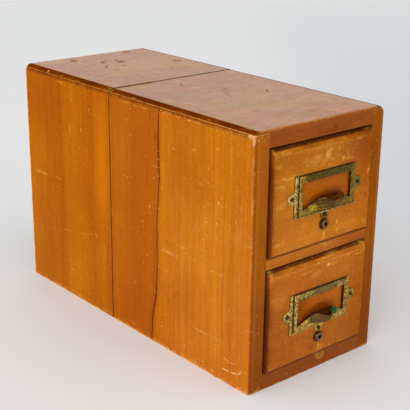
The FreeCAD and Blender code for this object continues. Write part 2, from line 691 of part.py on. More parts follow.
    # --- follower that holds the cards up, bored for the rod
    fo = new_body(name + "_follower_block")
    sk = new_sketch(fo, name + "_follower_side", "YZ_Plane")
    fh = D["follower_tall"]
    lean = fh * math.tan(math.radians(D["follower_lean"].number))
    outline(sk, [(0, 0), (D["follower_base"], 0), (D["follower_base"], 24.0), (lean + D["follower_top"], fh), (lean, fh)])
    grow(fo, sk, D["follower_wide"])
    hole = new_sketch(fo, name + "_follower_bore", "XZ_Plane")
    fz0 = card_floor + D["follower_lift"]
    ring(hole, D["follower_wide"] / 2 + off, rod_z - fz0, bore)
    pk = fo.newObject("PartDesign::Pocket", name + "_follower_bored")
    pk.Profile = hole
    pk.Type = "ThroughAll"
    pk.Midplane = True
    v0 = fo.Shape.Volume
    doc.recompute()
    if pk.Shape.Volume >= v0 - 10:
        raise ValueError("follower bore cuts nothing")
    put(fo, -D["follower_wide"] / 2, D["follower_front"], fz0)
    parts[name + "_follower_block"] = fo

    # --- label frame pull: flat flange with three lugs, hollow raised ring, window
    pu = new_body(name + "_pull_frame")
    sk = new_sketch(pu, name + "_pull_flange", "XZ_Plane")
    box_outline(sk, -D["flange_wide"] / 2, -D["flange_tall"] / 2, D["flange_wide"] / 2, D["flange_tall"] / 2)
    grow(pu, sk, D["sheet_thick"])
    fx = D["flange_wide"] / 2
    for tag, sg in (("left", -1.0), ("right", 1.0)):
        sk = new_sketch(pu, "%s_pull_lug_%s" % (name, tag), "XZ_Plane")
        cx = D["lug_offset"] * sg
        x_in = (fx - 3) * sg
        x_edge = fx * sg
        x_mid = (fx + 2.2) * sg
        if sg > 0:
            outline(sk, [(x_in, -9.0), (x_edge, -9.0), (x_mid, -6.2), (cx, -D["lug_round"]), (cx, D["lug_round"]), (x_mid, 6.2), (x_edge, 9.0), (x_in, 9.0)],
                    {3: (cx, 0, D["lug_round"], True, "x")})
        else:
            outline(sk, [(x_in, -9.0), (x_in, 9.0), (x_edge, 9.0), (x_mid, 6.2), (cx, D["lug_round"]), (cx, -D["lug_round"]), (x_mid, -6.2), (x_edge, -9.0)],
                    {4: (cx, 0, D["lug_round"], True, "x")})
        grow(pu, sk, D["sheet_thick"])
    sk = new_sketch(pu, name + "_pull_lug_low", "XZ_Plane")
    ze = -D["flange_tall"] / 2
    lr = D["low_lug_round"]
    outline(sk, [(-8.0, ze + 3), (-8.0, ze), (-lr - 0.4, ze - 1.6), (-lr, -D["lug_drop"]), (lr, -D["lug_drop"]), (lr + 0.4, ze - 1.6), (8.0, ze), (8.0, ze + 3)],
            {3: (0, -D["lug_drop"], lr, True, "y")})
    grow(pu, sk, D["sheet_thick"])
    sk = new_sketch(pu, name + "_pull_ring", "XZ_Plane")
    rr_, wr_ = D["ring_rise"], D["window_rise"]
    box_outline(sk, -D["ring_wide"] / 2, rr_ - D["ring_tall"] / 2, D["ring_wide"] / 2, rr_ + D["ring_tall"] / 2)
    grow(pu, sk, D["ring_proud"])
    sk = new_sketch(pu, name + "_pull_hollow", "XZ_Plane")
    hx, hz = D["ring_wide"] / 2 - D["sheet_thick"], D["ring_tall"] / 2 - D["sheet_thick"]
    box_outline(sk, -hx, rr_ - hz, hx, rr_ + hz)
    sink(pu, sk, D["ring_proud"] - D["sheet_thick"], back=True)
    sk = new_sketch(pu, name + "_pull_window", "XZ_Plane")
    wx, wz = D["window_wide"] / 2, D["window_tall"] / 2
    box_outline(sk, -wx, wr_ - wz, wx, wr_ + wz)
    sink(pu, sk, D["ring_proud"] + 1, back=True)
    for tag, x, z in (("left", -D["lug_offset"], size(0)), ("right", D["lug_offset"], size(0)), ("low", size(0), -D["lug_drop"])):
        sk = new_sketch(pu, "%s_pull_hole_%s" % (name, tag), "XZ_Plane")
        ring(sk, x, z, D["screw_hole"] / 2 + 0.1)
        sink(pu, sk, D["sheet_thick"] + 1, back=True)
    # the low lug is nipped away where the rod's ferrule stands
    sk = new_sketch(pu, name + "_pull_nip", "XZ_Plane")
    ring(sk, 0, rod_z - pull_height, D["ferrule_flange_dia"] / 2 + 0.15)
    if (rod_z - pull_height).number + D["ferrule_flange_dia"].number / 2 + 0.15 > -(D["lug_drop"] + D["low_lug_round"]).number:
        sink(pu, sk, D["sheet_thick"] + 1, back=True)
    rp = D["ring_proud"].number
    rw, rt, ru = D["ring_wide"].number / 2, D["ring_tall"].number / 2, rr_.number
    dress(pu, "Fillet", 0.7, lambda e: both(e, lambda p: near(p.y, -rp) and (near(abs(p.x), rw) and near(abs(p.z - ru), rt))))
    put(pu, off, face, pull_height)

    # --- finger lip: thin shell that springs from the lower rail, wings up at both ends, pressed outwards in the middle
    t = D["sheet_thick"].number
    rail_top = (wr_ - wz).number
    wires = []
    rim = [(0.0, 17.8, 8.2), (3.0, 16.9, 8.3), (6.0, 14.9, 8.9), (10.0, 12.2, 10.5), (14.0, 9.6, 11.2), (18.0, 7.2, 9.4), (22.0, 5.6, 6.9),
           (26.0, 4.6, 4.5), (30.0, 3.9, 2.3), (34.0, 3.6, 0.9), (40.0, 3.5, 0.7)]    # |x|, distance from the drawer face, height over the rail
    n_st = 25
    for i in range(n_st):
        u = -1 + 2.0 * i / (n_st - 1)
        x = u * (wx.number - 0.4)
        k = max(j for j in range(len(rim) - 1) if rim[j][0] <= abs(x) + 1e-9)
        w_ = (abs(x) - rim[k][0]) / (rim[k + 1][0] - rim[k][0])
        w_ = w_ * w_ * (3 - 2 * w_) * 0.3 + w_ * 0.7
        reach = rim[k][1] + (rim[k + 1][1] - rim[k][1]) * w_
        rise = rim[k][2] + (rim[k + 1][2] - rim[k][2]) * w_
        p0, z0 = rp - 0.6, rail_top - 1.4
        p1, z1 = reach, rail_top + rise
        # gently bowed centre line from root to free edge
        cps = []
        for k in range(7):
            s_ = k / 6.0
            bow = 4.2 * math.sin(math.pi * s_) * min(1.0, max(0.0, (reach - 3.3) / 12.0))
            dx, dz = p1 - p0, z1 - z0
            ln = math.hypot(dx, dz)
            nx, nz = dz / ln, -dx / ln
            cps.append((p0 + dx * s_ + nx * bow, z0 + dz * s_ + nz * bow))
        outer, inner_ = [], []
        for k in range(7):
            q0 = cps[max(0, k - 1)]
            q1 = cps[min(6, k + 1)]
            tx, tz = q1[0] - q0[0], q1[1] - q0[1]
            ln = math.hypot(tx, tz)
            nx, nz = tz / ln * t / 2, -tx / ln * t / 2
            outer.append(V(x, -(cps[k][0] + nx), cps[k][1] + nz))
            inner_.append(V(x, -(cps[k][0] - nx), cps[k][1] - nz))
        wires.append(Part.makePolygon(outer + inner_[::-1] + [outer[0]]))
    lip = Part.makeLoft(wires, True, True)
    lp = doc.addObject("Part::Feature", name + "_pull_lip")
    lp.Shape = lip
    put(lp, off, face, pull_height)
    doc.recompute()
    fu = doc.addObject("Part::Fuse", name + "_pull")
    fu.Label = name + "_pull"
    fu.Base = pu
    fu.Tool = lp
    doc.recompute()
    parts[name + "_pull"] = fu

    # --- its three screws
    sc = screw_shape(D["screw_head"].number, D["screw_hole"].number, D["screw_long"].number)
    rows = []
    for i, (x, z) in enumerate(((-D["lug_offset"].number, 0.0), (D["lug_offset"].number, 0.0), (0.0, -D["lug_drop"].number))):
        s = turned(sc, 35 + 50 * i)
        s.translate(V(x, -t - 1.0, z))
        rows.append(s)
    ps = doc.addObject("Part::Feature", name + "_pull_screws")
    ps.Label = name + "_pull_screws"
    ps.Shape = Part.makeCompound(rows)
    put(ps, off, face, pull_height)
    parts[name + "_pull_screws"] = ps


drawer("upper", UPPER_FLOOR, D["upper_front_tall"], D["upper_pull_height"])
drawer("lower", LOWER_FLOOR, D["lower_front_tall"], D["lower_pull_height"])

# ---------------------------------------------------------------- check and write
doc.recompute()
bad = [o.Name for o in doc.Objects if "Invalid" in o.State or "Error" in o.State]
if bad:
    raise RuntimeError("failed objects: " + ", ".join(bad))
for node, obj in parts.items():
    s = obj.Shape
    if s.isNull() or not s.isValid() or not s.Solids:
        raise RuntimeError("bad shape: " + node)
os.makedirs("parts", exist_ok=True)
for node, obj in parts.items():
    obj.Label = node if obj.Label != node else obj.Label
    obj.Shape.exportStep("parts/%s.step" % node)
    bb = obj.Shape.BoundBox
    print("%-26s %2d solid  vol %9.1f  x %7.1f %7.1f  y %7.1f %7.1f  z %6.1f %6.1f" % (
        node, len(obj.Shape.Solids), obj.Shape.Volume, bb.XMin, bb.XMax, bb.YMin, bb.YMax, bb.ZMin, bb.ZMax))
print(len(parts), "sub-parts")
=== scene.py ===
import bpy, bmesh, json, math
from mathutils import Vector, Matrix

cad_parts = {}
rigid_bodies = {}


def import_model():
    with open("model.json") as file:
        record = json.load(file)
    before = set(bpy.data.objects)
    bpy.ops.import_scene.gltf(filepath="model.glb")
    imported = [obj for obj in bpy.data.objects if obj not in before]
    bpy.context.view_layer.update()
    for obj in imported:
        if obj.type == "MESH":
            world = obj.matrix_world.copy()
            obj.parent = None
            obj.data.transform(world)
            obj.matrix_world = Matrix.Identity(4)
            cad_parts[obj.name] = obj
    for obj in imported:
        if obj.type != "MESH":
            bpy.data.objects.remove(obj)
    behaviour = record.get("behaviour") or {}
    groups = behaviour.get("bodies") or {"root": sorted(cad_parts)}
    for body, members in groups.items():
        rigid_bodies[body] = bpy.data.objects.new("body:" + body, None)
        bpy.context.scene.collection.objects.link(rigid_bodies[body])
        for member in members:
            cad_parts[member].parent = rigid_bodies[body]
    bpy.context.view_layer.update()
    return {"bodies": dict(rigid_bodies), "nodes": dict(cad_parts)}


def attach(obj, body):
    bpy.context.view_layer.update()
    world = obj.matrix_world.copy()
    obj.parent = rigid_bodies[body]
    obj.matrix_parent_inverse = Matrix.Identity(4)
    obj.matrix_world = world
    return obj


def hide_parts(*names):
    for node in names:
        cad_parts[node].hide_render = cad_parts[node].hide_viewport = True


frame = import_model()
NODES, BODIES = frame["nodes"], frame["bodies"]
scene = bpy.context.scene
scene.view_settings.view_transform = "Standard"
scene.view_settings.look = "None"
MM = 0.001

# places on the cabinet, in metres, that the finishes and the pulls share
HALF_W, HALF_D, TALL = 0.0968, 0.2155, 0.289
FACE = -0.2200                 # the drawer fronts stand 4.5 mm proud of the case
PULL_X, PULLS = 0.002, {"upper": 0.2122, "lower": 0.0793}
RODS = {"upper": 0.1750, "lower": 0.0420}
SEAM_Y = 0.0315


def lin(c):
    c /= 255.0
    return c / 12.92 if c <= 0.04045 else ((c + 0.055) / 1.055) ** 2.4


def srgb(r, g, b):
    return (lin(r), lin(g), lin(b))


# ------------------------------------------------------------------ shader graph helper


class Graph:
    """Writes a node material with plain function calls. Values are numbers, tuples or sockets."""

    def __init__(self, name):
        self.mat = bpy.data.materials.new(name)
        self.mat.use_nodes = True
        self.t = self.mat.node_tree
        self.t.nodes.clear()
        self.out = self.t.nodes.new("ShaderNodeOutputMaterial")
        self.bsdf = self.t.nodes.new("ShaderNodeBsdfPrincipled")
        self.t.links.new(self.bsdf.outputs[0], self.out.inputs["Surface"])
        self.co = self.t.nodes.new("ShaderNodeTexCoord").outputs["Object"]
        n = self.t.nodes.new("ShaderNodeSeparateXYZ")
        self.t.links.new(self.co, n.inputs[0])
        self.x, self.y, self.z = [n.outputs[i] for i in range(3)]
        self._n = None

    def put(self, sock, v):
        if isinstance(v, bpy.types.NodeSocket):
            self.t.links.new(v, sock)
        elif isinstance(v, (tuple, list)):
            n = len(sock.default_value)
            v = tuple(v)
            sock.default_value = (v + (1.0,))[:n] if len(v) < n else v[:n]
        else:
            try:
                sock.default_value = v
            except TypeError:
                sock.default_value = (v,) * len(sock.default_value)

    def m(self, op, a, b=None, c=None, clamp=False):
        n = self.t.nodes.new("ShaderNodeMath")
        n.operation, n.use_clamp = op, clamp
        self.put(n.inputs[0], a)
        if b is not None:
            self.put(n.inputs[1], b)
        if c is not None:
            self.put(n.inputs[2], c)
        return n.outputs[0]

    def add(self, *a):
        r = a[0]
        for b in a[1:]:
            r = self.m("ADD", r, b)
        return r

    def mul(self, *a):
        r = a[0]
        for b in a[1:]:
            r = self.m("MULTIPLY", r, b)
        return r

    def sub(self, a, b): return self.m("SUBTRACT", a, b)
    def inv(self, a): return self.m("SUBTRACT", 1.0, a)
    def abs(self, a): return self.m("ABSOLUTE", a)

    def vm(self, op, a, b=None):
        n = self.t.nodes.new("ShaderNodeVectorMath")
        n.operation = op
        self.put(n.inputs[0], a)
        if b is not None:
            self.put(n.inputs[1], b)
        return n.outputs[0]

    def normal(self):
        if self._n is None:
            g = self.t.nodes.new("ShaderNodeNewGeometry")
            s = self.t.nodes.new("ShaderNodeSeparateXYZ")
            self.t.links.new(g.outputs["True Normal"], s.inputs[0])
            self._n = [s.outputs[i] for i in range(3)]
        return self._n

    def scaled(self, sx, sy, sz, off=(0, 0, 0), co=None):
        v = self.vm("MULTIPLY", self.co if co is None else co, (sx, sy, sz))
        return self.vm("ADD", v, off) if any(off) else v

    def noise(self, vec, detail=2.0, rough=0.5, dist=0.0, out=0):
        n = self.t.nodes.new("ShaderNodeTexNoise")
        self.put(n.inputs["Vector"], vec)
        n.inputs["Scale"].default_value = 1.0
        n.inputs["Detail"].default_value = detail
        n.inputs["Roughness"].default_value = rough
        n.inputs["Distortion"].default_value = dist
        return n.outputs[out]

    def voronoi(self, vec, feature="F1", rnd=1.0):
        n = self.t.nodes.new("ShaderNodeTexVoronoi")
        n.feature = feature
        self.put(n.inputs["Vector"], vec)
        n.inputs["Scale"].default_value = 1.0
        n.inputs["Randomness"].default_value = rnd
        return n

    def rng(self, v, a, b, c=0.0, d=1.0, kind="SMOOTHSTEP"):
        n = self.t.nodes.new("ShaderNodeMapRange")
        n.interpolation_type = kind
        n.clamp = True
        self.put(n.inputs[0], v)
        n.inputs[1].default_value, n.inputs[2].default_value = a, b
        n.inputs[3].default_value, n.inputs[4].default_value = c, d
        return n.outputs[0]

    def ramp(self, fac, stops, interp="LINEAR"):
        n = self.t.nodes.new("ShaderNodeValToRGB")
        r = n.color_ramp
        r.interpolation = interp
        while len(r.elements) > 1:
            r.elements.remove(r.elements[-1])
        for i, (p, c) in enumerate(stops):
            e = r.elements[0] if i == 0 else r.elements.new(p)
            e.position = p
            e.color = (c, c, c, 1) if not isinstance(c, (tuple, list)) else tuple(c[:3]) + (1,)
        self.put(n.inputs[0], fac)
        return n.outputs[0]

    def mix(self, fac, a, b, blend="MIX"):
        n = self.t.nodes.new("ShaderNodeMix")
        n.data_type, n.blend_type = "RGBA", blend
        n.clamp_factor = True
        self.put(n.inputs[0], fac)
        self.put(n.inputs[6], a)
        self.put(n.inputs[7], b)
        return n.outputs[2]

    def bump(self, height, strength=0.3, distance=0.0005, normal=None):
        n = self.t.nodes.new("ShaderNodeBump")
        n.inputs["Strength"].default_value = strength
        n.inputs["Distance"].default_value = distance
        self.put(n.inputs["Height"], height)
        if normal is not None:
            self.put(n.inputs["Normal"], normal)
        return n.outputs[0]

    def band(self, v, lo, hi, soft):
        """1 between lo and hi, fading over soft."""
        return self.mul(self.rng(v, lo - soft, lo + soft), self.rng(v, hi + soft, hi - soft))

    def blob(self, u, v, cu, cv, ru, rv, ang=0.0, hard=0.3, wob=None, k=1.0):
        """Soft ellipse in the (u, v) plane, up to k inside and 0 outside, in millimetres."""
        du, dv = self.sub(u, cu * MM), self.sub(v, cv * MM)
        ca, sa = math.cos(ang), math.sin(ang)
        a = self.add(self.mul(du, ca / (ru * MM)), self.mul(dv, sa / (ru * MM)))
        b = self.add(self.mul(du, -sa / (rv * MM)), self.mul(dv, ca / (rv * MM)))
        r = self.add(self.mul(a, a), self.mul(b, b))
        if wob is not None:
            r = self.add(r, wob)
        return self.rng(r, 1.0, hard * hard, 0.0, k)

    def most(self, masks):
        acc = masks[0]
        for q in masks[1:]:
            acc = self.m("MAXIMUM", acc, q)
        return acc

    def stroke(self, u, v, pts, width, soft=0.5, k=1.0):
        """A thin line through points (u, v) in millimetres."""
        out = []
        for (u0, v0), (u1, v1) in zip(pts[:-1], pts[1:]):
            L = math.hypot(u1 - u0, v1 - v0)
            cx, cy = (u0 + u1) / 2, (v0 + v1) / 2
            out.append(self.blob(u, v, cx, cy, L / 2 + width * 0.6, width, math.atan2(v1 - v0, u1 - u0), soft, None, k))
        return self.most(out)

    def tint(self, col, k, f=1.0):
        """Multiplies a colour by k where the mask f is 1."""
        return self.mix(f, col, self.mix(1.0, col, k, "MULTIPLY"))

    def finish(self, color, rough, normal=None, metallic=0.0, spec=0.5, coat=0.0, coat_rough=0.2, ior=1.5):
        b = self.bsdf
        self.put(b.inputs["Base Color"], color)
        self.put(b.inputs["Roughness"], rough)
        self.put(b.inputs["Metallic"], metallic)
        b.inputs["IOR"].default_value = ior
        self.put(b.inputs["Specular IOR Level"], spec)
        b.inputs["Coat Weight"].default_value = coat
        b.inputs["Coat Roughness"].default_value = coat_rough
        if normal is not None:
            self.put(b.inputs["Normal"], normal)
            if coat:
                self.put(b.inputs["Coat Normal"], normal)
        return self.mat


def paint(node, mat):
    o = NODES[node]
    for s in o.material_slots:
        s.material = mat
    if not o.material_slots:
        o.data.materials.append(mat)


# ------------------------------------------------------------------ wood


def grain(g, along, seed, lines=260.0, stretch=0.03, bend=0.004):
    """Slow bands, fine lines, fibres and clouds of a board whose grain runs along one axis."""
    k = [1.0, 1.0, 1.0]
    k["xyz".index(along)] = stretch
    off = (seed * 3.17, seed * 1.71, seed * 2.37)
    w = g.noise(g.scaled(5.0, 5.0, 5.0, off), 2.0, 0.5, 0.0, out=1)
    w = g.vm("MULTIPLY", g.vm("SUBTRACT", w, (0.5, 0.5, 0.5)), (bend, bend, bend))
    co = g.vm("ADD", g.co, w)

    def st(s, o, kk=1.0):
        q = [s, s, s]
        q["xyz".index(along)] = s * stretch * kk
        return g.vm("ADD", g.vm("MULTIPLY", co, tuple(q)), (off[0] + o, off[1] + o, off[2] + o))
    return {
        "band": g.noise(st(30.0, 0.0), 3.0, 0.55),
        "line": g.noise(st(lines, 3.0, 0.6), 2.0, 0.55),
        "fibre": g.noise(st(1100.0, 7.0, 0.8), 2.0, 0.6),
        "cloud": g.noise(g.scaled(11.0, 11.0, 11.0, (seed, 5.0, seed)), 3.0, 0.55),
        "mottle": g.noise(g.scaled(70.0, 70.0, 70.0, (seed, 1.0, seed)), 4.0, 0.6),
        "grit": g.noise(g.scaled(520.0, 520.0, 520.0, (seed, 2.0, seed)), 3.0, 0.6),
    }


def specks(g, scale, size, keep, seed=0.0, uv=None):
    """Sparse pale or dark flecks: small round cells, only some of them kept. uv lays the cells out in one plane."""
    if uv is None:
        v = g.voronoi(g.scaled(scale, scale, scale, (seed, seed * 2, seed * 3)))
    else:
        c = g.t.nodes.new("ShaderNodeCombineXYZ")
        g.put(c.inputs[0], uv[0])
        g.put(c.inputs[1], uv[1])
        v = g.voronoi(g.scaled(scale, scale, 0.0, (seed + 20.0, seed * 2 + 20.0, 0.0), c.outputs[0]))
        v.voronoi_dimensions = "2D"
    s = g.t.nodes.new("ShaderNodeSeparateXYZ")
    g.t.links.new(v.outputs["Color"], s.inputs[0])
    lim = g.rng(s.outputs[0], 1.0 - keep, 1.0, 0.0, size, "LINEAR")
    d = g.sub(lim, v.outputs["Distance"])
    return g.rng(d, 0.0, size * 0.5)


def ramp3(g, t, dark, mid, light):
    return g.ramp(t, [(0.0, dark), (0.5, mid), (1.0, light)])


WORN = srgb(232, 176, 104)
WORN_D = srgb(206, 148, 74)
DIRT = srgb(70, 30, 8)
BARE = srgb(205, 150, 80)

# the split in the left side: distance behind the front edge and height
SPLIT = [(152.7, 288.0), (153.6, 267.1), (154.3, 247.1), (153.6, 225.1), (152.7, 203.1), (155.0, 179.1), (157.0, 156.1),
         (157.2, 124.1), (157.1, 92.0), (159.5, 63.0), (163.0, 46.0), (165.9, 33.0), (167.6, 14.0), (168.9, 0.0)]


def side_board(name, seed, left, rear):
    g = Graph(name)
    x, y, z = g.x, g.y, g.z
    gr = grain(g, "z", seed, lines=(310.0 if not rear else 150.0), stretch=0.02, bend=0.005)
    fore = g.mul(g.rng(y, 0.02, -0.16), g.add(0.45, g.mul(gr["cloud"], 0.8)))     # the fine lines are strongest towards the front edge
    amp = g.add(0.10, g.mul(fore, 0.32)) if not rear else 0.15
    t = g.add(0.5, g.mul(g.sub(gr["band"], 0.5), 1.15 if rear else 0.85), g.mul(g.sub(gr["line"], 0.5), amp, 1.6),
              g.mul(g.sub(gr["fibre"], 0.5), 0.60), g.mul(g.sub(gr["cloud"], 0.5), 0.60), g.mul(g.sub(gr["grit"], 0.5), 0.85 if rear else 0.60))
    col = ramp3(g, t, srgb(160, 76, 2), srgb(190, 104, 8), srgb(214, 130, 16))
    low = g.rng(z, 0.22, 0.04)
    col = g.mix(g.mul(low, 0.65), col, g.mix(1.0, col, (1.10, 1.12, 2.2), "MULTIPLY"))
    col = g.mix(g.mul(g.rng(gr["mottle"], 0.52, 0.75), 0.12), col, srgb(218, 150, 60))
    height = g.add(g.mul(gr["fibre"], 0.35), g.mul(gr["line"], 0.5), g.mul(gr["mottle"], 0.5))
    # front stile face: duller, redder
    stile = g.rng(y, -0.2139, -0.2152)
    if not rear:
        col = g.mix(g.mul(stile, 0.75), col, g.mix(1.0, col, (0.82, 0.80, 1.6), "MULTIPLY"))
        lowst = g.mul(stile, g.rng(z, 0.14, 0.0))
        col = g.mix(g.mul(lowst, 0.5), col, srgb(142, 72, 20))
    out_x = g.abs(x)
    pale, dark = [], []
    ns = g.noise(g.scaled(240.0, 240.0, 240.0, (seed, 0, 0)), 3.0, 0.6)
    nl = g.noise(g.scaled(60.0, 60.0, 60.0, (seed, 9, 0)), 2.0, 0.6)
    ny = g.noise(g.scaled(240.0, 60.0, 240.0, (seed, 3, 0)), 3.0, 0.6)
    brk = g.rng(g.add(g.mul(ns, 0.55), g.mul(nl, 0.6)), 0.56, 0.66)
    fine_brk = g.rng(g.add(g.mul(ns, 0.7), g.mul(nl, 0.4)), 0.52, 0.60)
    # worn arrises
    pale.append(g.mul(g.band(z, 0.2853, 0.2862, 0.0004), g.add(0.45, g.mul(fine_brk, 0.55)), 0.62))
    pale.append(g.mul(g.band(z, 0.2832, 0.2840, 0.0005), fine_brk, 0.42))
    dark.append(g.mul(g.band(z, 0.2842, 0.2851, 0.0004), 0.55))
    pale.append(g.mul(g.rng(z, 0.0030, 0.0010), g.rng(ny, 0.40, 0.54), 0.75))
    pale.append(g.mul(g.rng(z, 0.0090, 0.0010), g.rng(ns, 0.54, 0.64), 0.6))
    corner = g.mul(g.rng(out_x, 0.0938, 0.0955), g.rng(y, -0.2124, -0.2142)) if not rear else g.rng(y, 0.2126, 0.2142)
    pale.append(g.mul(corner, g.add(0.3, g.mul(brk, 0.7)) if rear else brk, g.mul(g.rng(z, 0.10, 0.20), 0.22) if not rear else g.mul(g.rng(out_x, 0.0930, 0.0950), 0.85)))
    seam = g.rng(g.abs(g.sub(y, SEAM_Y)), 0.0024, 0.0012)
    pale.append(g.mul(seam, g.rng(y, SEAM_Y, SEAM_Y - 0.0006), g.rng(g.add(g.mul(ns, 0.6), g.mul(nl, 0.45)), 0.50, 0.60), g.rng(z, 0.10, 0.19), 0.7))
    pale.append(g.mul(seam, brk, 0.35))
    # random flecks
    lay = (g.add(y, x), z)
    pale.append(g.mul(specks(g, 140.0, 0.17, 0.26, seed, lay), g.rng(gr["cloud"], 0.40, 0.54), 0.85))
    pale.append(g.mul(specks(g, 290.0, 0.25, 0.26, seed + 1, lay), g.rng(nl, 0.40, 0.60), 0.50))
    dark.append(g.mul(specks(g, 260.0, 0.24, 0.14, seed + 6, lay), g.rng(nl, 0.58, 0.42), 0.28))
    dust = g.noise(g.scaled(620.0, 620.0, 620.0, (seed, 6, 0)), 2.0, 0.6)
    pale.append(g.mul(g.rng(dust, 0.62, 0.74), g.rng(nl, 0.44, 0.62), 0.34))
    dark.append(g.mul(specks(g, 120.0, 0.13, 0.05, seed + 2, lay), 0.55))
    # long faint scuffs
    sc = g.noise(g.scaled(70.0, 26.0, 420.0, (seed, 3, 0)), 2.0, 0.5, 0.4)
    pale.append(g.mul(g.rng(sc, 0.70, 0.78), 0.40))
    hs = g.noise(g.scaled(90.0, 22.0, 520.0, (seed, 5, 3)), 2.0, 0.5, 0.3)
    pale.append(g.mul(g.rng(hs, 0.70, 0.78), g.rng(nl, 0.46, 0.60), 0.38))
    if left and not rear:
        u, v = y, z
        cr = g.m("ADD", g.mul(g.ramp(g.mul(z, 1 / 0.289), [(max(0.0, min(1.0, h / 289.0)), (d - 140.0) / 40.0) for d, h in reversed(SPLIT)]), 0.040), 0.140 - HALF_D)
        wig = g.mul(g.sub(g.noise(g.scaled(90.0, 90.0, 90.0)), 0.5), 0.0012)
        dd = g.add(g.sub(y, cr), wig)
        wide = g.add(0.0007, g.mul(g.band(z, 0.205, 0.262, 0.012), 0.0007), g.mul(g.band(z, 0.02, 0.07, 0.012), 0.0004))
        line = g.rng(g.m("DIVIDE", g.abs(dd), wide), 1.9, 0.9)
        halo = g.mul(g.rng(g.abs(g.add(dd, -0.0015)), 0.0095, 0.0), 0.42)
        col = g.mix(halo, col, srgb(150, 66, 8))
        back = g.mul(g.rng(dd, 0.0, 0.004), g.rng(dd, 0.085, 0.02), 0.38)
        col = g.mix(back, col, srgb(172, 84, 10))
        col = g.mix(g.mul(line, g.rng(z, 0.2862, 0.2850), 0.90), col, srgb(132, 52, 14))
        hair = g.most([g.stroke(u, v, [(-46.5, 283.0), (-45.5, 262.0), (-44.0, 252.0)], 0.7, 0.3, 0.75), g.stroke(u, v, [(-44.5, 254.0), (-41.5, 240.0), (-40.5, 178.0)], 0.5, 0.3, 0.50)])
        col = g.mix(hair, col, srgb(104, 40, 6))
        # marks seen one by one
        pale += [g.blob(u, v, -44.7, 167.5, 1.4, 2.4, 0.0, 0.3, None, 0.95), g.blob(u, v, -163.0, 203.3, 2.6, 3.2, 0.1, 0.2, g.mul(ns, 0.3), 0.55),
                 g.blob(u, v, -190.2, 190.4, 1.2, 1.5, 0.2, 0.3, None, 0.7), g.blob(u, v, -1.7, 260.0, 2.6, 2.0, 0.3, 0.55, g.mul(ns, 0.6), 0.5),
                 g.blob(u, v, -123.0, 251.5, 6.5, 3.6, -0.3, 0.5, g.mul(g.sub(ns, 0.3), 3.0), 0.8), g.blob(u, v, -87.6, 245.0, 0.9, 1.6, 0.4, 0.3, None, 0.7),
                 g.blob(u, v, -34.3, 155.7, 0.9, 1.1, 0.0, 0.3, None, 0.6), g.blob(u, v, -143.8, 177.0, 5.2, 1.0, 0.10, 0.3, g.mul(g.sub(ns, 0.35), 2.0), 0.6),
                 g.blob(u, v, -15.8, 64.0, 1.6, 1.6, 0.0, 0.3, None, 0.45), g.blob(u, v, -80.0, 122.0, 19.0, 2.2, -0.03, 0.2, g.mul(g.sub(nl, 0.4), 1.6), 0.30),
                 g.blob(u, v, -108.0, 17.6, 1.1, 1.5, 0.0, 0.3, None, 0.6), g.blob(u, v, -156.0, 5.2, 3.0, 1.7, 0.0, 0.4, g.mul(ns, 0.5), 0.85),
                 g.blob(u, v, -66.0, 25.0, 1.2, 1.6, 0.8, 0.3, None, 0.7), g.blob(u, v, -71.7, 42.6, 1.3, 1.5, 0.5, 0.3, None, 0.6),
                 g.blob(u, v, -6.8, 185.6, 2.2, 0.6, 0.1, 0.3, None, 0.6), g.blob(u, v, -21.0, 130.2, 1.2, 0.8, 0.1, 0.3, None, 0.5)]
        pale.append(g.mul(g.stroke(u, v, [(-171.5, 15.6), (-186.0, 16.2), (-199.0, 18.6), (-203.0, 23.0)], 1.25, 0.35, 0.9), g.rng(ns, 0.30, 0.45)))
        pale.append(g.mul(g.stroke(u, v, [(-172.0, 30.5), (-184.0, 27.5), (-196.0, 29.0)], 0.8, 0.3, 0.6), g.rng(ns, 0.34, 0.5)))
        pale.append(g.mul(g.stroke(u, v, [(-132.0, 45.0), (-150.0, 46.4), (-176.0, 47.2)], 0.7, 0.3, 0.35), g.rng(nl, 0.3, 0.5)))
        pale.append(g.mul(g.band(z, 0.2796, 0.2806, 0.0004), g.band(y, -0.041, 0.010, 0.003), g.rng(ny, 0.42, 0.54), 0.7))
        pale.append(g.mul(g.band(z, 0.2812, 0.2824, 0.0005), g.band(y, -0.135, -0.070, 0.004), g.rng(ny, 0.44, 0.56), 0.7))
        # top front corner, rubbed down to pale wood
        cw = g.add(g.m("POWER", g.m("MAXIMUM", g.mul(g.sub(-0.193, y), 1 / 0.023), 0.0), 2.0), g.m("POWER", g.m("MAXIMUM", g.mul(g.sub(z, 0.262), 1 / 0.024), 0.0), 2.0))
        pale.append(g.mul(g.rng(cw, 1.0, 1.9), g.rng(ns, 0.52, 0.64), 0.45))
        bare = g.mul(g.most([g.blob(u, v, -209.0, 284.4, 7.0, 3.4, 0.10, 0.35, g.mul(g.sub(ns, 0.5), 1.6), 0.85), g.blob(u, v, -213.2, 280.5, 2.2, 6.0, 0.0, 0.35, g.mul(g.sub(ns, 0.5), 1.4), 0.75)]), g.rng(y, -0.2153, -0.2143))
        arris = g.mul(g.rng(out_x, 0.0930, 0.0948), g.rng(y, -0.2112, -0.2130), g.rng(y, -0.2148, -0.2138), g.rng(z, 0.06, 0.17), g.add(0.35, g.mul(g.rng(nl, 0.40, 0.60), 0.65)), 0.42)
        col = g.mix(arris, col, srgb(206, 118, 42))
        dark += [g.stroke(u, v, [(-73.5, 133.6), (-78.5, 134.4)], 0.7, 0.3, 0.6), g.stroke(u, v, [(-14.5, 128.2), (-28.5, 129.4)], 0.5, 0.3, 0.55),
                 g.stroke(u, v, [(-100.5, 83.0), (-88.0, 70.0), (-72.0, 53.5)], 0.55, 0.3, 0.6), g.blob(u, v, -131.5, 245.0, 0.6, 1.2, 0, 0.3, None, 0.5),
                 g.blob(u, v, -56.0, 252.0, 2.0, 8.0, 0.0, 0.2, None, 0.4)]
    if left and rear:
        u, v = y, z
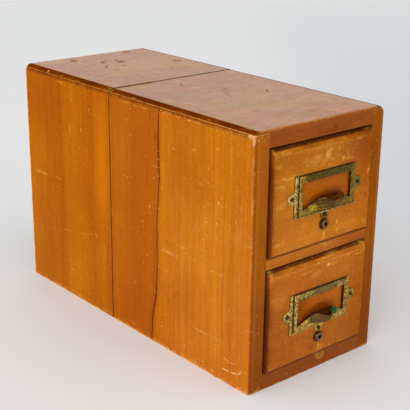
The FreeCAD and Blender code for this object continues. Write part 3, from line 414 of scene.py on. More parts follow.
        pale += [g.blob(u, v, 92.2, 228.4, 1.3, 3.0, 0.0, 0.25, None, 0.9), g.blob(u, v, 73.8, 256.4, 1.4, 1.6, 0.0, 0.3, None, 0.65),
                 g.blob(u, v, 65.0, 99.6, 3.4, 1.3, 0.45, 0.25, None, 0.7), g.blob(u, v, 121.0, 35.0, 1.9, 1.9, 0.0, 0.25, None, 0.6),
                 g.blob(u, v, 198.2, 241.6, 1.2, 1.4, 0.0, 0.3, None, 0.6), g.blob(u, v, 116.5, 224.0, 3.2, 14.0, 0.0, 0.1, g.mul(ns, 0.5), 0.5),
                 g.blob(u, v, 46.6, 83.0, 0.9, 19.0, -0.02, 0.2, None, 0.5), g.blob(u, v, 122.4, 5.5, 2.4, 2.4, 0.0, 0.3, None, 0.7)]
        pale.append(g.mul(g.stroke(u, v, [(206.0, 151.0), (168.0, 151.6)], 1.8, 0.15, 0.62), g.rng(nl, 0.25, 0.5)))
        pale.append(g.mul(g.stroke(u, v, [(162.0, 153.6), (139.0, 153.2)], 1.0, 0.2, 0.5), g.rng(nl, 0.3, 0.5)))
        pale.append(g.stroke(u, v, [(211.5, 138.8), (204.0, 138.4)], 0.8, 0.3, 0.6))
        pale.append(g.mul(g.stroke(u, v, [(148.0, 84.5), (110.0, 90.0), (66.0, 99.0)], 0.6, 0.2, 0.4), g.rng(ns, 0.34, 0.5)))
        yel = g.mul(g.band(y, 0.168, 0.211, 0.012), g.band(z, 0.155, 0.225, 0.03), 0.55)
        col = g.mix(yel, col, srgb(206, 126, 10))
        col = g.mix(g.mul(g.band(y, 0.036, 0.060, 0.010), g.band(z, 0.13, 0.25, 0.04), 0.5), col, srgb(214, 130, 10))
        dark += [g.blob(u, v, 169.0, 206.0, 6.0, 40.0, 0.02, 0.1, None, 0.16), g.blob(u, v, 56.3, 177.3, 0.8, 0.9, 0.0, 0.3, None, 0.7),
                 g.blob(u, v, 196.0, 266.0, 10.0, 6.0, -0.2, 0.1, g.mul(nl, 0.8), 0.35)]
        cw = g.mul(g.rng(y, 0.206, 0.2145), g.rng(z, 0.272, 0.284))
        pale.append(g.mul(cw, g.rng(ns, 0.40, 0.56), 0.8))
        pale.append(g.mul(g.rng(y, 0.2085, 0.2145), g.rng(z, 0.030, 0.004), g.rng(ns, 0.46, 0.58), 0.8))
        pale.append(g.mul(g.band(z, 0.2785, 0.2805, 0.0007), g.band(y, 0.128, 0.142, 0.003), 0.5))
    pm = g.most(pale)
    col = g.mix(pm, col, g.mix(g.rng(ns, 0.35, 0.65), WORN_D, WORN))
    if dark:
        col = g.mix(g.most(dark), col, srgb(96, 40, 6))
    # grime at the seam
    dusk = g.mul(g.rng(g.abs(g.sub(y, SEAM_Y)), 0.0016, 0.0008), 0.80)
    col = g.mix(dusk, col, srgb(168, 70, 18))
    chips = g.mul(g.band(y, SEAM_Y - 0.0024, SEAM_Y - 0.0006, 0.0002), g.rng(g.add(g.mul(ns, 0.65), g.mul(nl, 0.4)), 0.53, 0.60), g.rng(z, 0.06, 0.16), g.rng(z, 0.2865, 0.2840), 0.75)
    col = g.mix(chips, col, srgb(222, 150, 84))
    # inside faces are plain
    inner = g.mul(g.rng(out_x, 0.0790, 0.0782), g.rng(y, -0.2150, -0.2143))
    col = g.mix(inner, col, g.mix(gr["band"], srgb(150, 96, 48), srgb(184, 128, 74)))
    # painted shade: the front strip of the inside faces, seen in the drawer gaps, made dark
    if not rear:
        col = g.mix(g.mul(inner, g.rng(y, -0.190, -0.204), 0.85), col, srgb(84, 36, 12))
    # varnish aged unevenly: honey in the middle of the front board, browner behind and above
    lowz = g.rng(z, 0.16, 0.04)
    if rear:
        col = g.tint(col, (0.75, 0.68, 0.13))
        col = g.tint(col, (0.90, 0.84, 0.5), g.mul(g.rng(y, 0.12, 0.215), g.rng(z, 0.14, 0.25)))
        col = g.tint(col, (1.10, 1.10, 1.0), g.mul(g.rng(y, 0.11, 0.04), g.rng(z, 0.10, 0.18)))
        col = g.tint(col, (1.0, 1.06, 3.4), lowz)
    else:
        col = g.tint(col, (0.83, 0.84, 0.42))
        col = g.tint(col, (0.88, 0.78, 0.2), g.rng(y, -0.075, -0.045))
        col = g.tint(col, (1.03, 1.10, 1.5), g.mul(g.rng(y, -0.165, -0.195), g.rng(z, 0.05, 0.12)))
        if not left:
            col = g.tint(col, (0.76, 0.66, 0.35), stile)
        else:
            col = g.tint(col, (1.0, 1.0, 1.7), stile)
            col = g.tint(col, (0.85, 0.86, 1.3), g.mul(stile, g.rng(z, 0.130, 0.095)))
            # painted shade: a dark line on the front face just beside the rounded arris
            col = g.mix(g.mul(g.rng(y, -0.2130, -0.2146), g.rng(out_x, 0.0924, 0.0938), 0.55), col, srgb(112, 44, 2))
        col = g.tint(col, (0.88, 0.84, 0.55), g.mul(stile, g.rng(out_x, 0.0925, 0.088)))
        col = g.tint(col, (1.10, 1.17, 1.3), g.mul(g.band(y, -0.160, -0.085, 0.030), g.band(z, 0.09, 0.20, 0.04)))
        col = g.tint(col, (0.96, 0.92, 1.0), lowz)
        col = g.tint(col, (1.04, 1.04, 1.5), g.inv(stile))
        col = g.tint(col, (1.02, 1.05, 1.9), g.mul(g.inv(stile), g.rng(y, -0.075, -0.095), g.rng(z, 0.222, 0.185)))
        col = g.tint(col, (1.05, 1.06, 1.3), g.mul(g.inv(stile), g.rng(y, -0.180, -0.196)))
    # painted shade with some grime: a darker band just under the top board's overhang
    shade_and_grime_under_top = g.mul(g.rng(z, 0.2806, 0.2836), g.rng(z, 0.2859, 0.2855), g.inv(inner), g.rng(y, -0.2110, -0.2060), g.inv(g.mul(pm, 0.6)))
    col = g.tint(col, (0.58, 0.48, 0.3), shade_and_grime_under_top)
    col = g.mix(g.mul(pm, g.inv(inner), g.rng(g.abs(g.sub(y, SEAM_Y)), 0.0012, 0.0024), 0.24), col, srgb(230, 162, 70))
    col = g.mix(g.mul(g.rng(g.abs(g.sub(y, SEAM_Y)), 0.0013, 0.0007), g.inv(inner), 0.6), col, srgb(86, 32, 6))
    if left and not rear:
        col = g.mix(bare, col, g.mix(g.rng(ns, 0.4, 0.6), srgb(186, 128, 72), srgb(222, 170, 112)))
    rr = g.add(0.40, g.mul(g.sub(gr["mottle"], 0.5), 0.25), g.mul(pm, 0.15))
    nrm = g.bump(g.sub(height, g.mul(pm, 0.5)), 0.16, 0.0004)
    return g.finish(col, rr, nrm, spec=0.012 if rear else 0.025)


def top_board(name, seed, rear):
    g = Graph(name)
    x, y, z = g.x, g.y, g.z
    gr = grain(g, "x", seed, lines=200.0, stretch=0.05, bend=0.01)
    t = g.add(0.5, g.mul(g.sub(gr["band"], 0.5), 0.7), g.mul(g.sub(gr["line"], 0.5), 0.22), g.mul(g.sub(gr["cloud"], 0.5), 0.9), g.mul(g.sub(gr["mottle"], 0.5), 0.45), g.mul(g.sub(gr["grit"], 0.5), 0.75))
    col = ramp3(g, t, srgb(136, 76, 16), srgb(162, 96, 28), srgb(184, 120, 42))
    pink = g.noise(g.scaled(16.0, 22.0, 16.0, (seed, 4, 1)), 3.0, 0.6)
    col = g.mix(g.mul(g.rng(pink, 0.50, 0.68), 0.50), col, srgb(176, 88, 36))
    olive = g.rng(pink, 0.50, 0.36)
    col = g.mix(g.mul(olive, 0.66), col, srgb(168, 118, 24))
    wisp = g.noise(g.scaled(34.0, 130.0, 50.0, (seed, 8, 2)), 4.0, 0.65, 0.6)
    col = g.mix(g.mul(g.rng(wisp, 0.54, 0.68), 0.30), col, srgb(204, 140, 70))
    col = g.mix(g.mul(g.rng(wisp, 0.46, 0.34), 0.30), col, srgb(130, 70, 20))
    ns = g.noise(g.scaled(240.0, 240.0, 240.0, (seed, 0, 0)), 3.0, 0.6)
    nl = g.noise(g.scaled(60.0, 60.0, 60.0, (seed, 9, 0)), 2.0, 0.6)
    brk = g.rng(g.add(g.mul(ns, 0.55), g.mul(nl, 0.6)), 0.55, 0.65)
    top_z = 0.2895 if rear else 0.289
    # the rolled edges keep their red-brown varnish
    roll = g.m("MAXIMUM", g.rng(g.abs(x), 0.0878, 0.0902), g.rng(z, top_z - 0.0012, top_z - 0.0030))
    edge_col = g.mix(g.rng(gr["band"], 0.3, 0.7), srgb(100, 34, 2), srgb(134, 54, 4))
    front = None
    if not rear:
        front = g.rng(y, -0.2118, -0.2142)
        face_col = g.mix(g.rng(t, 0.2, 0.8, 0, 1, "LINEAR"), srgb(160, 84, 14), srgb(190, 108, 28))
        col = g.mix(roll, col, edge_col)
        col = g.mix(front, col, face_col)
    else:
        col = g.mix(roll, col, edge_col)
    u, v = y, x
    dark, pale = [], []
    if rear:
        dark += [g.blob(u, v, 196.0, -36.5, 11.0, 6.5, 0.5, 0.2, g.mul(g.sub(ns, 0.5), 1.7), 0.75), g.blob(u, v, 164.0, -13.0, 10.0, 4.0, 0.6, 0.3, g.mul(g.sub(ns, 0.5), 1.7), 0.85),
                 g.blob(u, v, 153.5, 9.0, 8.5, 6.5, 0.7, 0.3, g.mul(g.sub(ns, 0.5), 1.7), 0.95), g.blob(u, v, 204.5, 54.0, 8.5, 6.5, 0.3, 0.3, g.mul(g.sub(ns, 0.5), 1.7), 0.85),
                 g.blob(u, v, 200.0, 30.0, 3.0, 14.0, 0.0, 0.1, g.mul(ns, 0.8), 0.35), g.stroke(u, v, [(147.0, -19.0), (130.0, -30.0)], 1.71, 0.2, 0.87),
                 g.stroke(u, v, [(134.0, -1.0), (126.0, -5.0)], 2.17, 0.2, 0.87), g.stroke(u, v, [(122.0, -21.0), (110.0, -26.0)], 1.71, 0.2, 0.58),
                 g.stroke(u, v, [(172.0, 15.0), (158.0, 5.0)], 2.02, 0.2, 0.72), g.blob(u, v, 94.5, 18.5, 2.4, 1.6, 0.4, 0.2, None, 0.35),
                 g.blob(u, v, 115.5, 43.0, 2.4, 1.6, 0.2, 0.2, None, 0.4), g.blob(u, v, 68.0, 62.5, 3.0, 1.6, 0.3, 0.2, None, 0.35),
                 g.stroke(u, v, [(84.0, 36.0), (74.0, 31.0)], 1.71, 0.2, 0.43)]
        pale.append(g.blob(u, v, 166.0, -93.2, 1.8, 1.5, 0.0, 0.4, None, 0.95))
        rust = g.most([g.blob(u, v, 116.0, 73.0, 12.0, 9.0, 0.3, 0.5, g.mul(g.sub(ns, 0.5), 1.8), 0.95), g.blob(u, v, 104.0, 60.0, 8.0, 3.4, -0.6, 0.1, g.mul(g.sub(ns, 0.45), 1.2), 0.7)])
        col = g.mix(g.mul(rust, 0.8), col, srgb(150, 88, 26))
    else:
        dark += [g.stroke(u, v, [(5.0, -11.5), (-5.5, -19.0)], 1.55, 0.2, 0.94), g.blob(u, v, -51.5, 2.0, 2.2, 1.1, 0.4, 0.25, None, 0.5),
                 g.stroke(u, v, [(-44.0, 17.0), (-52.0, 5.0), (-54.0, 1.0)], 1.08, 0.2, 0.58), g.blob(u, v, -68.0, -19.0, 2.2, 1.0, 0.2, 0.25, None, 0.45),
                 g.stroke(u, v, [(-60.0, -1.0), (-86.0, -12.0)], 1.24, 0.2, 0.51), g.stroke(u, v, [(-79.0, 48.0), (-94.0, 37.5)], 1.86, 0.2, 0.87),
                 g.blob(u, v, -60.0, 28.5, 2.2, 1.0, 0.3, 0.25, None, 0.4), g.stroke(u, v, [(-20.0, 80.0), (-27.0, 74.0)], 1.40, 0.2, 0.65),
                 g.stroke(u, v, [(-204.0, -69.0), (-207.5, -76.0)], 0.93, 0.2, 0.72), g.stroke(u, v, [(-202.0, -72.0), (-205.0, -77.5)], 0.78, 0.2, 0.65),
                 g.blob(u, v, -178.5, 16.0, 1.6, 1.2, 0.0, 0.25, None, 0.55), g.blob(u, v, -161.5, 31.0, 1.8, 1.2, 0.0, 0.25, None, 0.45),
                 g.blob(u, v, -188.0, 44.5, 2.0, 1.4, 0.0, 0.25, None, 0.55), g.blob(u, v, -201.5, 29.0, 1.6, 2.4, 0.0, 0.25, None, 0.45)]
        yel = g.most([g.blob(u, v, -192.0, 4.0, 18.0, 34.0, 0.0, 0.1, g.mul(g.sub(ns, 0.5), 1.8), 0.85), g.blob(u, v, 12.0, -76.0, 18.0, 12.0, 0.2, 0.1, g.mul(g.sub(nl, 0.5), 1.4), 0.7),
                      g.blob(u, v, -32.0, -60.0, 8.0, 16.0, 0.0, 0.1, g.mul(g.sub(nl, 0.5), 1.2), 0.5), g.blob(u, v, -70.0, 40.0, 30.0, 14.0, 0.5, 0.1, g.mul(g.sub(nl, 0.5), 2.0), 0.45)])
        col = g.mix(yel, col, srgb(160, 104, 14))
        flecks = g.mul(g.blob(u, v, -190.0, 10.0, 20.0, 42.0, 0.0, 0.3), specks(g, 260.0, 0.34, 0.40, 5.0, (x, g.mul(y, 0.7))), 0.75)
        dark.append(flecks)
        # worn front arris: a pale line along the rounding, broken up
        arr = g.mul(g.band(z, 0.2868, 0.2884, 0.0006), g.rng(y, -0.2105, -0.2118), g.rng(g.add(g.mul(ns, 0.6), g.mul(nl, 0.4)), 0.48, 0.60), 0.42)
        pale.append(arr)
        pale.append(g.mul(g.rng(z, 0.2722, 0.2708), g.rng(y, -0.2138, -0.2150), brk, 0.3))
        fm = g.noise(g.scaled(38.0, 38.0, 120.0, (3, 1, 7)), 3.0, 0.6)
        pale.append(g.mul(front, g.rng(fm, 0.66, 0.74), 0.35))
        pale.append(g.mul(front, g.blob(x, z, 50.0, 276.0, 8.0, 1.2, 0.1, 0.3, g.mul(ns, 0.8), 0.7)))
        # right top corner, rubbed dull
        rc = g.mul(g.rng(x, 0.078, 0.090), g.rng(y, -0.2085, -0.2140), 0.45)
        col = g.mix(rc, col, srgb(120, 66, 28))
    # scattered nicks, both pale and dark, and fine scratches in all directions
    lay = (x, g.add(y, z))
    dark.append(g.mul(specks(g, 85.0, 0.15, 0.22, seed + 3, lay), g.rng(gr["cloud"], 0.38, 0.58), 0.50))
    dark.append(g.mul(specks(g, 230.0, 0.26, 0.20, seed + 5, lay), g.rng(nl, 0.40, 0.60), 0.42))
    pale.append(g.mul(specks(g, 200.0, 0.20, 0.14, seed + 4, lay), 0.35))
    sc1 = g.noise(g.scaled(38.0, 300.0, 60.0, (seed, 3, 0)), 1.0, 0.5, 0.6)
    sc3 = g.noise(g.vm("ADD", g.vm("MULTIPLY", g.vm("ADD", g.co, (0.0, 0.0, 0.0)), (330.0, 70.0, 60.0)), (seed, 7.0, 2.0)), 1.0, 0.5, 1.2)
    dark.append(g.mul(g.rng(sc3, 0.68, 0.78), g.rng(nl, 0.42, 0.56), 0.45))
    sc2 = g.noise(g.vm("ADD", g.vm("MULTIPLY", g.vm("ADD", g.co, g.vm("MULTIPLY", g.scaled(0, 0, 0), (0, 0, 0))), (260.0, 48.0, 60.0)), (2.0, seed, 4.0)), 1.0, 0.5, 0.8)
    dark.append(g.mul(g.rng(sc1, 0.66, 0.76), 0.42))
    pale.append(g.mul(g.rng(sc2, 0.66, 0.78), 0.34))
    pale.append(g.mul(g.band(g.abs(x), 0.0938, 0.0944, 0.0003), g.rng(ns, 0.60, 0.66), 0.4))
    pm = g.most(pale)
    dm = g.most(dark)
    col = g.mix(g.mul(dm, 0.85), col, srgb(116, 62, 8))
    col = g.mix(pm, col, g.mix(ns, WORN_D, WORN))
    # dirt in the joint between the two boards
    sd = g.abs(g.sub(y, SEAM_Y))
    openj = g.mul(g.rng(sd, 0.0046, 0.0034), g.rng(x, -0.030, -0.036), g.add(0.7, g.mul(g.rng(ns, 0.3, 0.6), 0.3)), 0.95)
    col = g.mix(openj, col, srgb(136, 90, 22))
    col = g.mix(g.mul(g.rng(sd, 0.0016, 0.0006), g.sub(0.95, g.mul(openj, 0.45))), col, srgb(64, 38, 14))
    # painted shade: the underside of the top, darkest along its front strip, seen in the gap above the upper drawer
    under = g.rng(z, 0.2712, 0.2707)
    col = g.mix(under, col, g.mix(g.rng(y, -0.190, -0.204), srgb(120, 76, 40), srgb(60, 26, 8)))
    rr = g.add(0.40, g.mul(g.sub(gr["mottle"], 0.5), 0.30), g.mul(g.sub(gr["grit"], 0.5), 0.10), g.mul(dm, 0.2))
    nrm = g.bump(g.add(g.mul(gr["fibre"], 0.25), g.mul(gr["mottle"], 0.6), g.mul(gr["cloud"], 2.0)), 0.10, 0.0006)
    low_roll = g.rng(g.abs(x), 0.0932, 0.0956)
    side_roll = g.mul(g.rng(g.abs(x), 0.0884, 0.0902), g.inv(pm), g.inv(openj))
    col = g.tint(col, (0.76, 0.90, 0.5), g.mul(side_roll, g.inv(low_roll)))
    col = g.tint(col, (0.92, 1.32, 0.6), g.mul(side_roll, low_roll))
    gloss = 0.75
    if front is not None:
        gloss = g.sub(0.75, g.mul(g.rng(y, -0.2095, -0.2135), 0.66))
        col = g.tint(col, (0.68, 0.57, 0.15), front)
        fdark = g.noise(g.scaled(30.0, 60.0, 150.0, (seed, 2, 8)), 3.0, 0.6)
        col = g.tint(col, (0.80, 0.77, 0.62), front)
        col = g.tint(col, (0.92, 0.90, 0.88), g.mul(front, g.rng(fdark, 0.44, 0.66)))
    gloss = g.mul(gloss, g.sub(1.0, g.rng(g.abs(x), 0.0858, 0.0885)), g.sub(1.0, g.m("MAXIMUM", dm, openj)), g.sub(1.0, g.mul(olive, 0.12)))
    if rear:
        gloss = g.mul(gloss, g.sub(1.0, rust))
    else:
        gloss = g.mul(gloss, g.sub(1.0, g.mul(yel, 0.45)))
    return g.finish(col, rr, nrm, spec=gloss, ior=1.5)


def rail(name, seed, kind):
    g = Graph(name)
    x, y, z = g.x, g.y, g.z
    gr = grain(g, "x", seed, lines=260.0, stretch=0.03, bend=0.004)
    t = g.add(0.5, g.mul(g.sub(gr["band"], 0.5), 1.0), g.mul(g.sub(gr["line"], 0.5), 0.35), g.mul(g.sub(gr["fibre"], 0.5), 0.2), g.mul(g.sub(gr["cloud"], 0.5), 0.5))
    if kind == "base":
        col = ramp3(g, t, srgb(128, 60, 8), srgb(150, 76, 14), srgb(172, 94, 22))
    else:
        col = ramp3(g, t, srgb(160, 84, 14), srgb(184, 104, 20), srgb(204, 124, 34))
    ns = g.noise(g.scaled(240.0, 240.0, 240.0, (seed, 0, 0)), 3.0, 0.6)
    nl = g.noise(g.scaled(60.0, 60.0, 60.0, (seed, 9, 0)), 2.0, 0.6)
    pale, dark = [g.mul(specks(g, 110.0, 0.09, 0.10, seed), 0.6)], []
    ff = g.rng(y, -0.2135, -0.2148)
    if kind == "divider":
        pale += [g.blob(x, z, 11.0, 147.4, 6.5, 3.6, -0.5, 0.15, g.mul(ns, 0.7), 0.6), g.blob(x, z, 5.0, 150.6, 2.4, 2.2, 0.0, 0.2, None, 0.55),
                 g.blob(x, z, 22.0, 144.0, 6.0, 1.6, -0.4, 0.2, g.mul(ns, 0.7), 0.3)]
        pale.append(g.mul(g.rng(z, 0.1408, 0.1396), g.rng(g.add(g.mul(ns, .5), g.mul(nl, .5)), 0.5, 0.6), 0.55))
        # painted shadow: a dark line on the divider just below the upper drawer's bottom edge
        dark.append(g.mul(g.rng(z, 0.1496, 0.1507), 0.75))
    else:
        # an old run of varnish below the lower rod, with a dark rim
        tear = g.most([g.blob(x, z, 12.5, 13.6, 7.4, 6.4, -0.2, 0.2, None, 1.0), g.blob(x, z, 9.5, 19.0, 8.0, 3.4, 0.1, 0.2, None, 1.0)])
        rim = g.mul(g.rng(tear, 0.55, 0.9), 0.12)
        pale.append(g.mul(g.rng(tear, 0.02, 0.22), g.sub(0.62, g.mul(g.rng(tear, 0.35, 0.75), 0.32))))
        dark.append(rim)
        pale.append(g.mul(g.rng(z, 0.0022, 0.0008), ff, g.rng(g.add(g.mul(ns, .5), g.mul(nl, .5)), 0.48, 0.58), 0.55))
        # painted shadow: a dark line on the base rail just below the lower drawer's bottom edge
        dark.append(g.mul(g.rng(z, 0.0163, 0.0174), 0.65))
        for cu, cv, r in ((-39.5, 7.0, 1.6), (-14.0, 5.0, 1.2), (47.0, 14.0, 1.2), (-55.0, 15.0, 1.1)):
            pale.append(g.blob(x, z, cu, cv, r, r * 0.8, 0.3, 0.3, None, 0.6))
    pm = g.mul(g.most(pale), ff)
    col = g.mix(pm, col, g.mix(ns, WORN_D, srgb(214, 158, 88)))
    col = g.mix(g.mul(g.most(dark), ff), col, srgb(92, 42, 8))
    ends = g.mul(g.rng(g.abs(x), 0.0766, 0.0772), 0.75, ff)
    col = g.mix(ends, col, srgb(74, 30, 8))
    deep = g.rng(y, -0.2148, -0.2110)
    col = g.mix(g.mul(deep, 0.85), col, g.mix(gr["band"], srgb(118, 74, 36), srgb(160, 108, 60)))
    if kind == "base":
        col = g.tint(col, (0.84, 0.80, 0.40))
    else:
        col = g.tint(g.tint(col, (0.88, 0.92, 0.62)), (0.77, 0.60, 0.42), g.mul(g.rng(x, 0.01, 0.06), ff))
    nrm = g.bump(g.add(g.mul(gr["fibre"], 0.4), g.mul(gr["mottle"], 0.5)), 0.14, 0.0004)
    return g.finish(col, g.add(0.42, g.mul(g.sub(gr["mottle"], 0.5), 0.2)), nrm, spec=0.10)


def drawer_front(name, seed, which):
    g = Graph(name)
    x, y, z = g.x, g.y, g.z
    lo, hi = (0.1534, 0.2684) if which == "upper" else (0.0204, 0.1366)
    pz, rz = PULLS[which], RODS[which]
    gr = grain(g, "x", seed, lines=180.0, stretch=0.05, bend=0.006)
    t = g.add(0.5, g.mul(g.sub(gr["band"], 0.5), 0.9), g.mul(g.sub(gr["line"], 0.5), 0.16), g.mul(g.sub(gr["fibre"], 0.5), 0.18),
              g.mul(g.sub(gr["cloud"], 0.5), 1.0), g.mul(g.sub(gr["mottle"], 0.5), 0.50), g.mul(g.sub(gr["grit"], 0.5), 1.05))
    if which == "upper":
        col = ramp3(g, t, srgb(168, 88, 4), srgb(190, 110, 16), srgb(214, 136, 40))
        col = g.mix(g.mul(g.rng(z, 0.215, 0.165), 0.6), col, g.mix(1.0, col, (1.06, 0.98, 1.9), "MULTIPLY"))
    else:
        col = ramp3(g, t, srgb(164, 80, 10), srgb(184, 98, 20), srgb(204, 122, 40))
        col = g.mix(g.mul(g.rng(x, -0.01, 0.06), g.rng(z, 0.09, 0.03), 0.35), col, srgb(176, 98, 12))
    ns = g.noise(g.scaled(240.0, 240.0, 240.0, (seed, 0, 0)), 3.0, 0.6)
    nl = g.noise(g.scaled(60.0, 60.0, 60.0, (seed, 9, 0)), 2.0, 0.6)
    nb = g.noise(g.scaled(26.0, 60.0, 90.0, (seed, 2, 5)), 4.0, 0.65)
    cx, cz = x, z
    pale, dark = [], []
    w = g.mul(g.sub(ns, 0.40), 2.2)
    if which == "upper":
        pale += [g.blob(cx, cz, 4.5, 251.5, 5.4, 7.0, 0.2, 0.35, w, 0.95), g.blob(cx, cz, 9.5, 256.0, 4.6, 4.0, 0.7, 0.35, w, 0.75),
                 g.blob(cx, cz, 21.5, 254.5, 3.6, 3.0, 0.0, 0.25, w, 0.6), g.blob(cx, cz, 28.0, 242.6, 3.2, 3.8, 0.0, 0.35, g.mul(w, 0.5), 0.8),
                 g.blob(cx, cz, -12.0, 251.0, 10.0, 3.2, 0.1, 0.2, w, 0.6), g.blob(cx, cz, 37.0, 241.5, 11.0, 3.0, -0.1, 0.2, w, 0.5),
                 g.blob(cx, cz, 2.0, 246.0, 10.0, 2.2, 0.25, 0.2, w, 0.5), g.blob(cx, cz, -28.0, 249.0, 9.0, 2.0, 0.1, 0.2, w, 0.35),
                 g.blob(cx, cz, 70.5, 222.0, 3.0, 6.0, -0.4, 0.2, w, 0.75), g.blob(cx, cz, 23.5, 172.0, 2.4, 4.4, 0.05, 0.2, g.mul(w, 0.6), 0.6),
                 g.blob(cx, cz, 23.5, 162.5, 2.6, 2.6, 0.0, 0.2, g.mul(w, 0.6), 0.6), g.blob(cx, cz, 67.5, 162.8, 3.0, 3.2, 0.0, 0.2, g.mul(w, 0.6), 0.5),
                 g.blob(cx, cz, -65.0, 166.0, 9.0, 2.4, 0.1, 0.2, w, 0.35), g.blob(cx, cz, 3.4, 161.5, 2.0, 7.5, 0.02, 0.15, g.mul(w, 0.25), 0.6)]
        dark += [g.stroke(cx, cz, [(66.0, 195.5), (71.5, 191.5)], 0.8, 0.2, 0.7)]
    else:
        pale += [g.blob(cx, cz, 13.8, 124.2, 3.6, 2.9, 0.2, 0.35, g.mul(w, 0.5), 0.95), g.blob(cx, cz, -1.5, 130.0, 2.2, 1.4, 0.2, 0.3, g.mul(w, 0.5), 0.7),
                 g.blob(cx, cz, -61.2, 129.0, 1.0, 1.2, 0.0, 0.3, None, 0.9), g.blob(cx, cz, -39.0, 106.2, 1.0, 1.3, 0.0, 0.3, None, 0.9),
                 g.blob(cx, cz, -48.0, 50.0, 1.6, 0.7, -0.4, 0.3, None, 0.8), g.blob(cx, cz, 60.0, 125.5, 7.0, 1.4, -0.15, 0.2, w, 0.6),
                 g.blob(cx, cz, 47.0, 128.0, 6.0, 1.6, 0.0, 0.2, w, 0.4), g.blob(cx, cz, 4.0, 28.5, 2.2, 8.0, 0.03, 0.15, g.mul(w, 0.25), 0.5),
                 g.blob(cx, cz, 8.0, 27.0, 6.0, 4.0, -0.3, 0.15, g.mul(w, 0.4), 0.35), g.blob(cx, cz, -20.0, 123.0, 14.0, 3.0, 0.0, 0.2, w, 0.25)]
        dark += [g.blob(cx, cz, -6.0, 30.0, 5.0, 4.0, 0.2, 0.1, None, 0.25)]
    streak = g.mul(g.rng(nb, 0.54, 0.66), g.rng(z, lo + 0.02, hi - 0.016), 0.50 if which == "upper" else 0.22)
    if which == "upper":
        patch = g.blob(cx, cz, 8.0, 246.0, 46.0, 12.0, 0.04, 0.2)
        pale.append(g.mul(patch, g.rng(g.add(g.mul(nb, 0.6), g.mul(ns, 0.45)), 0.52, 0.64), 0.42))
    pale.append(streak)
    pale.append(g.mul(specks(g, 130.0, 0.13, 0.24, seed, (x, z)), 0.75))
    pale.append(g.mul(specks(g, 330.0, 0.27, 0.28, seed + 1, (x, z)), 0.50))
    dust = g.noise(g.scaled(560.0, 560.0, 560.0, (seed, 6, 0)), 2.0, 0.6)
    pale.append(g.mul(g.rng(dust, 0.56, 0.70), g.rng(nl, 0.40, 0.60), 0.30))
    dark.append(g.mul(specks(g, 150.0, 0.13, 0.07, seed + 2, (x, z)), 0.5))
    dark.append(g.mul(specks(g, 300.0, 0.26, 0.20, seed + 4, (x, z)), g.rng(nl, 0.60, 0.42), 0.22))
    edge_n = g.rng(g.add(g.mul(ns, 0.5), g.mul(nl, 0.5)), 0.44, 0.56)
    hard_n = g.rng(g.add(g.mul(ns, 0.6), g.mul(nl, 0.45)), 0.52, 0.62)
    # the arris where the face meets the bevels
    pale.append(g.mul(g.band(z, hi - 0.0080, hi - 0.0066, 0.0006), g.add(0.25, g.mul(edge_n, 0.75)), 0.30))
    pale.append(g.mul(g.band(x, 0.0720, 0.0734, 0.0005), hard_n, 0.45))
    pale.append(g.mul(g.band(x, -0.0736, -0.0724, 0.0006), hard_n, 0.22))
    pale.append(g.mul(g.band(z, lo + 0.0018, lo + 0.0034, 0.0006), edge_n, 0.26))
    # top corners are rubbed
    pale.append(g.mul(g.rng(x, -0.064, -0.072), g.rng(z, hi - 0.012, hi - 0.0075), edge_n, 0.35))
    pale.append(g.mul(g.rng(x, 0.060, 0.072), g.rng(z, hi - 0.014, hi - 0.0065), edge_n, 0.40))
    # bevels: gold brown above with painted shade along the very top; dark on the left, partly dirt from hands and
    # partly painted shade
    bev_t = g.rng(z, hi - 0.0064, hi - 0.0050)
    gold = g.mix(g.rng(nb, 0.35, 0.65), srgb(158, 86, 14), srgb(206, 128, 44))
    col = g.mix(g.mul(bev_t, 0.8), col, gold)
    # painted shade with some grime: a dark band along the top edge of the top bevel, under the rail
    col = g.mix(g.mul(g.rng(z, hi - 0.0038, hi - 0.0018), 0.85), col, srgb(60, 24, 6))
    # the left bevel, its outer edge and the face beside it made dark: dirt and painted shade in the side gap
    bev_l = g.rng(x, -0.0727, -0.0737)
    col = g.mix(g.mul(bev_l, g.rng(z, hi - 0.006, hi - 0.03), 0.75), col, srgb(96, 38, 14))
    col = g.mix(g.mul(bev_l, 0.45), col, srgb(116, 52, 20))
    col = g.mix(g.mul(g.rng(x, -0.0670, -0.0738), g.rng(z, hi - 0.006, hi - 0.03), 0.50), col, srgb(112, 54, 10))
    col = g.mix(g.mul(g.rng(x, -0.0742, -0.0756), 0.75), col, srgb(66, 24, 8))
    # grime gathered round the pull and the rod
    du = g.m("MAXIMUM", g.sub(g.abs(g.sub(x, PULL_X)), 0.0457), g.sub(g.abs(g.sub(z, pz)), 0.0232))
    halo = g.mul(g.rng(du, 0.0014, 0.0), g.rng(du, -0.0012, -0.0004), 0.60)
    inside = g.mul(g.rng(g.m("MAXIMUM", g.sub(g.abs(g.sub(x, PULL_X)), 0.0363), g.sub(g.abs(g.sub(z, pz + 0.0008)), 0.0145)), -0.0015, 0.0006), g.rng(du, 0.0004, -0.0004), 0.9)
    win = g.rng(g.m("MAXIMUM", g.sub(g.abs(g.sub(x, PULL_X)), 0.0363), g.sub(g.abs(g.sub(z, pz + 0.0008)), 0.0145)), 0.0008, -0.0008)
    rod_d = g.m("SQRT", g.add(g.m("POWER", g.sub(x, PULL_X), 2.0), g.m("POWER", g.sub(z, rz), 2.0)))
    rod_h = g.mul(g.rng(rod_d, 0.0092, 0.0060), 0.5)
    nowin = g.inv(win)
    pm = g.mul(g.most(pale), nowin, g.rng(x, -0.0738, -0.0724))
    flat = g.rng(y, FACE + 0.0012, FACE + 0.0003)
    if which == "upper":
        col = g.tint(col, (0.84, 0.64, 0.08), g.mul(win, flat))
    else:
        col = g.tint(col, (1.10, 1.08, 0.5), g.mul(win, flat))
        col = g.tint(col, (0.68, 0.62, 0.3), g.mul(win, flat, g.rng(x, -0.004, -0.030)))
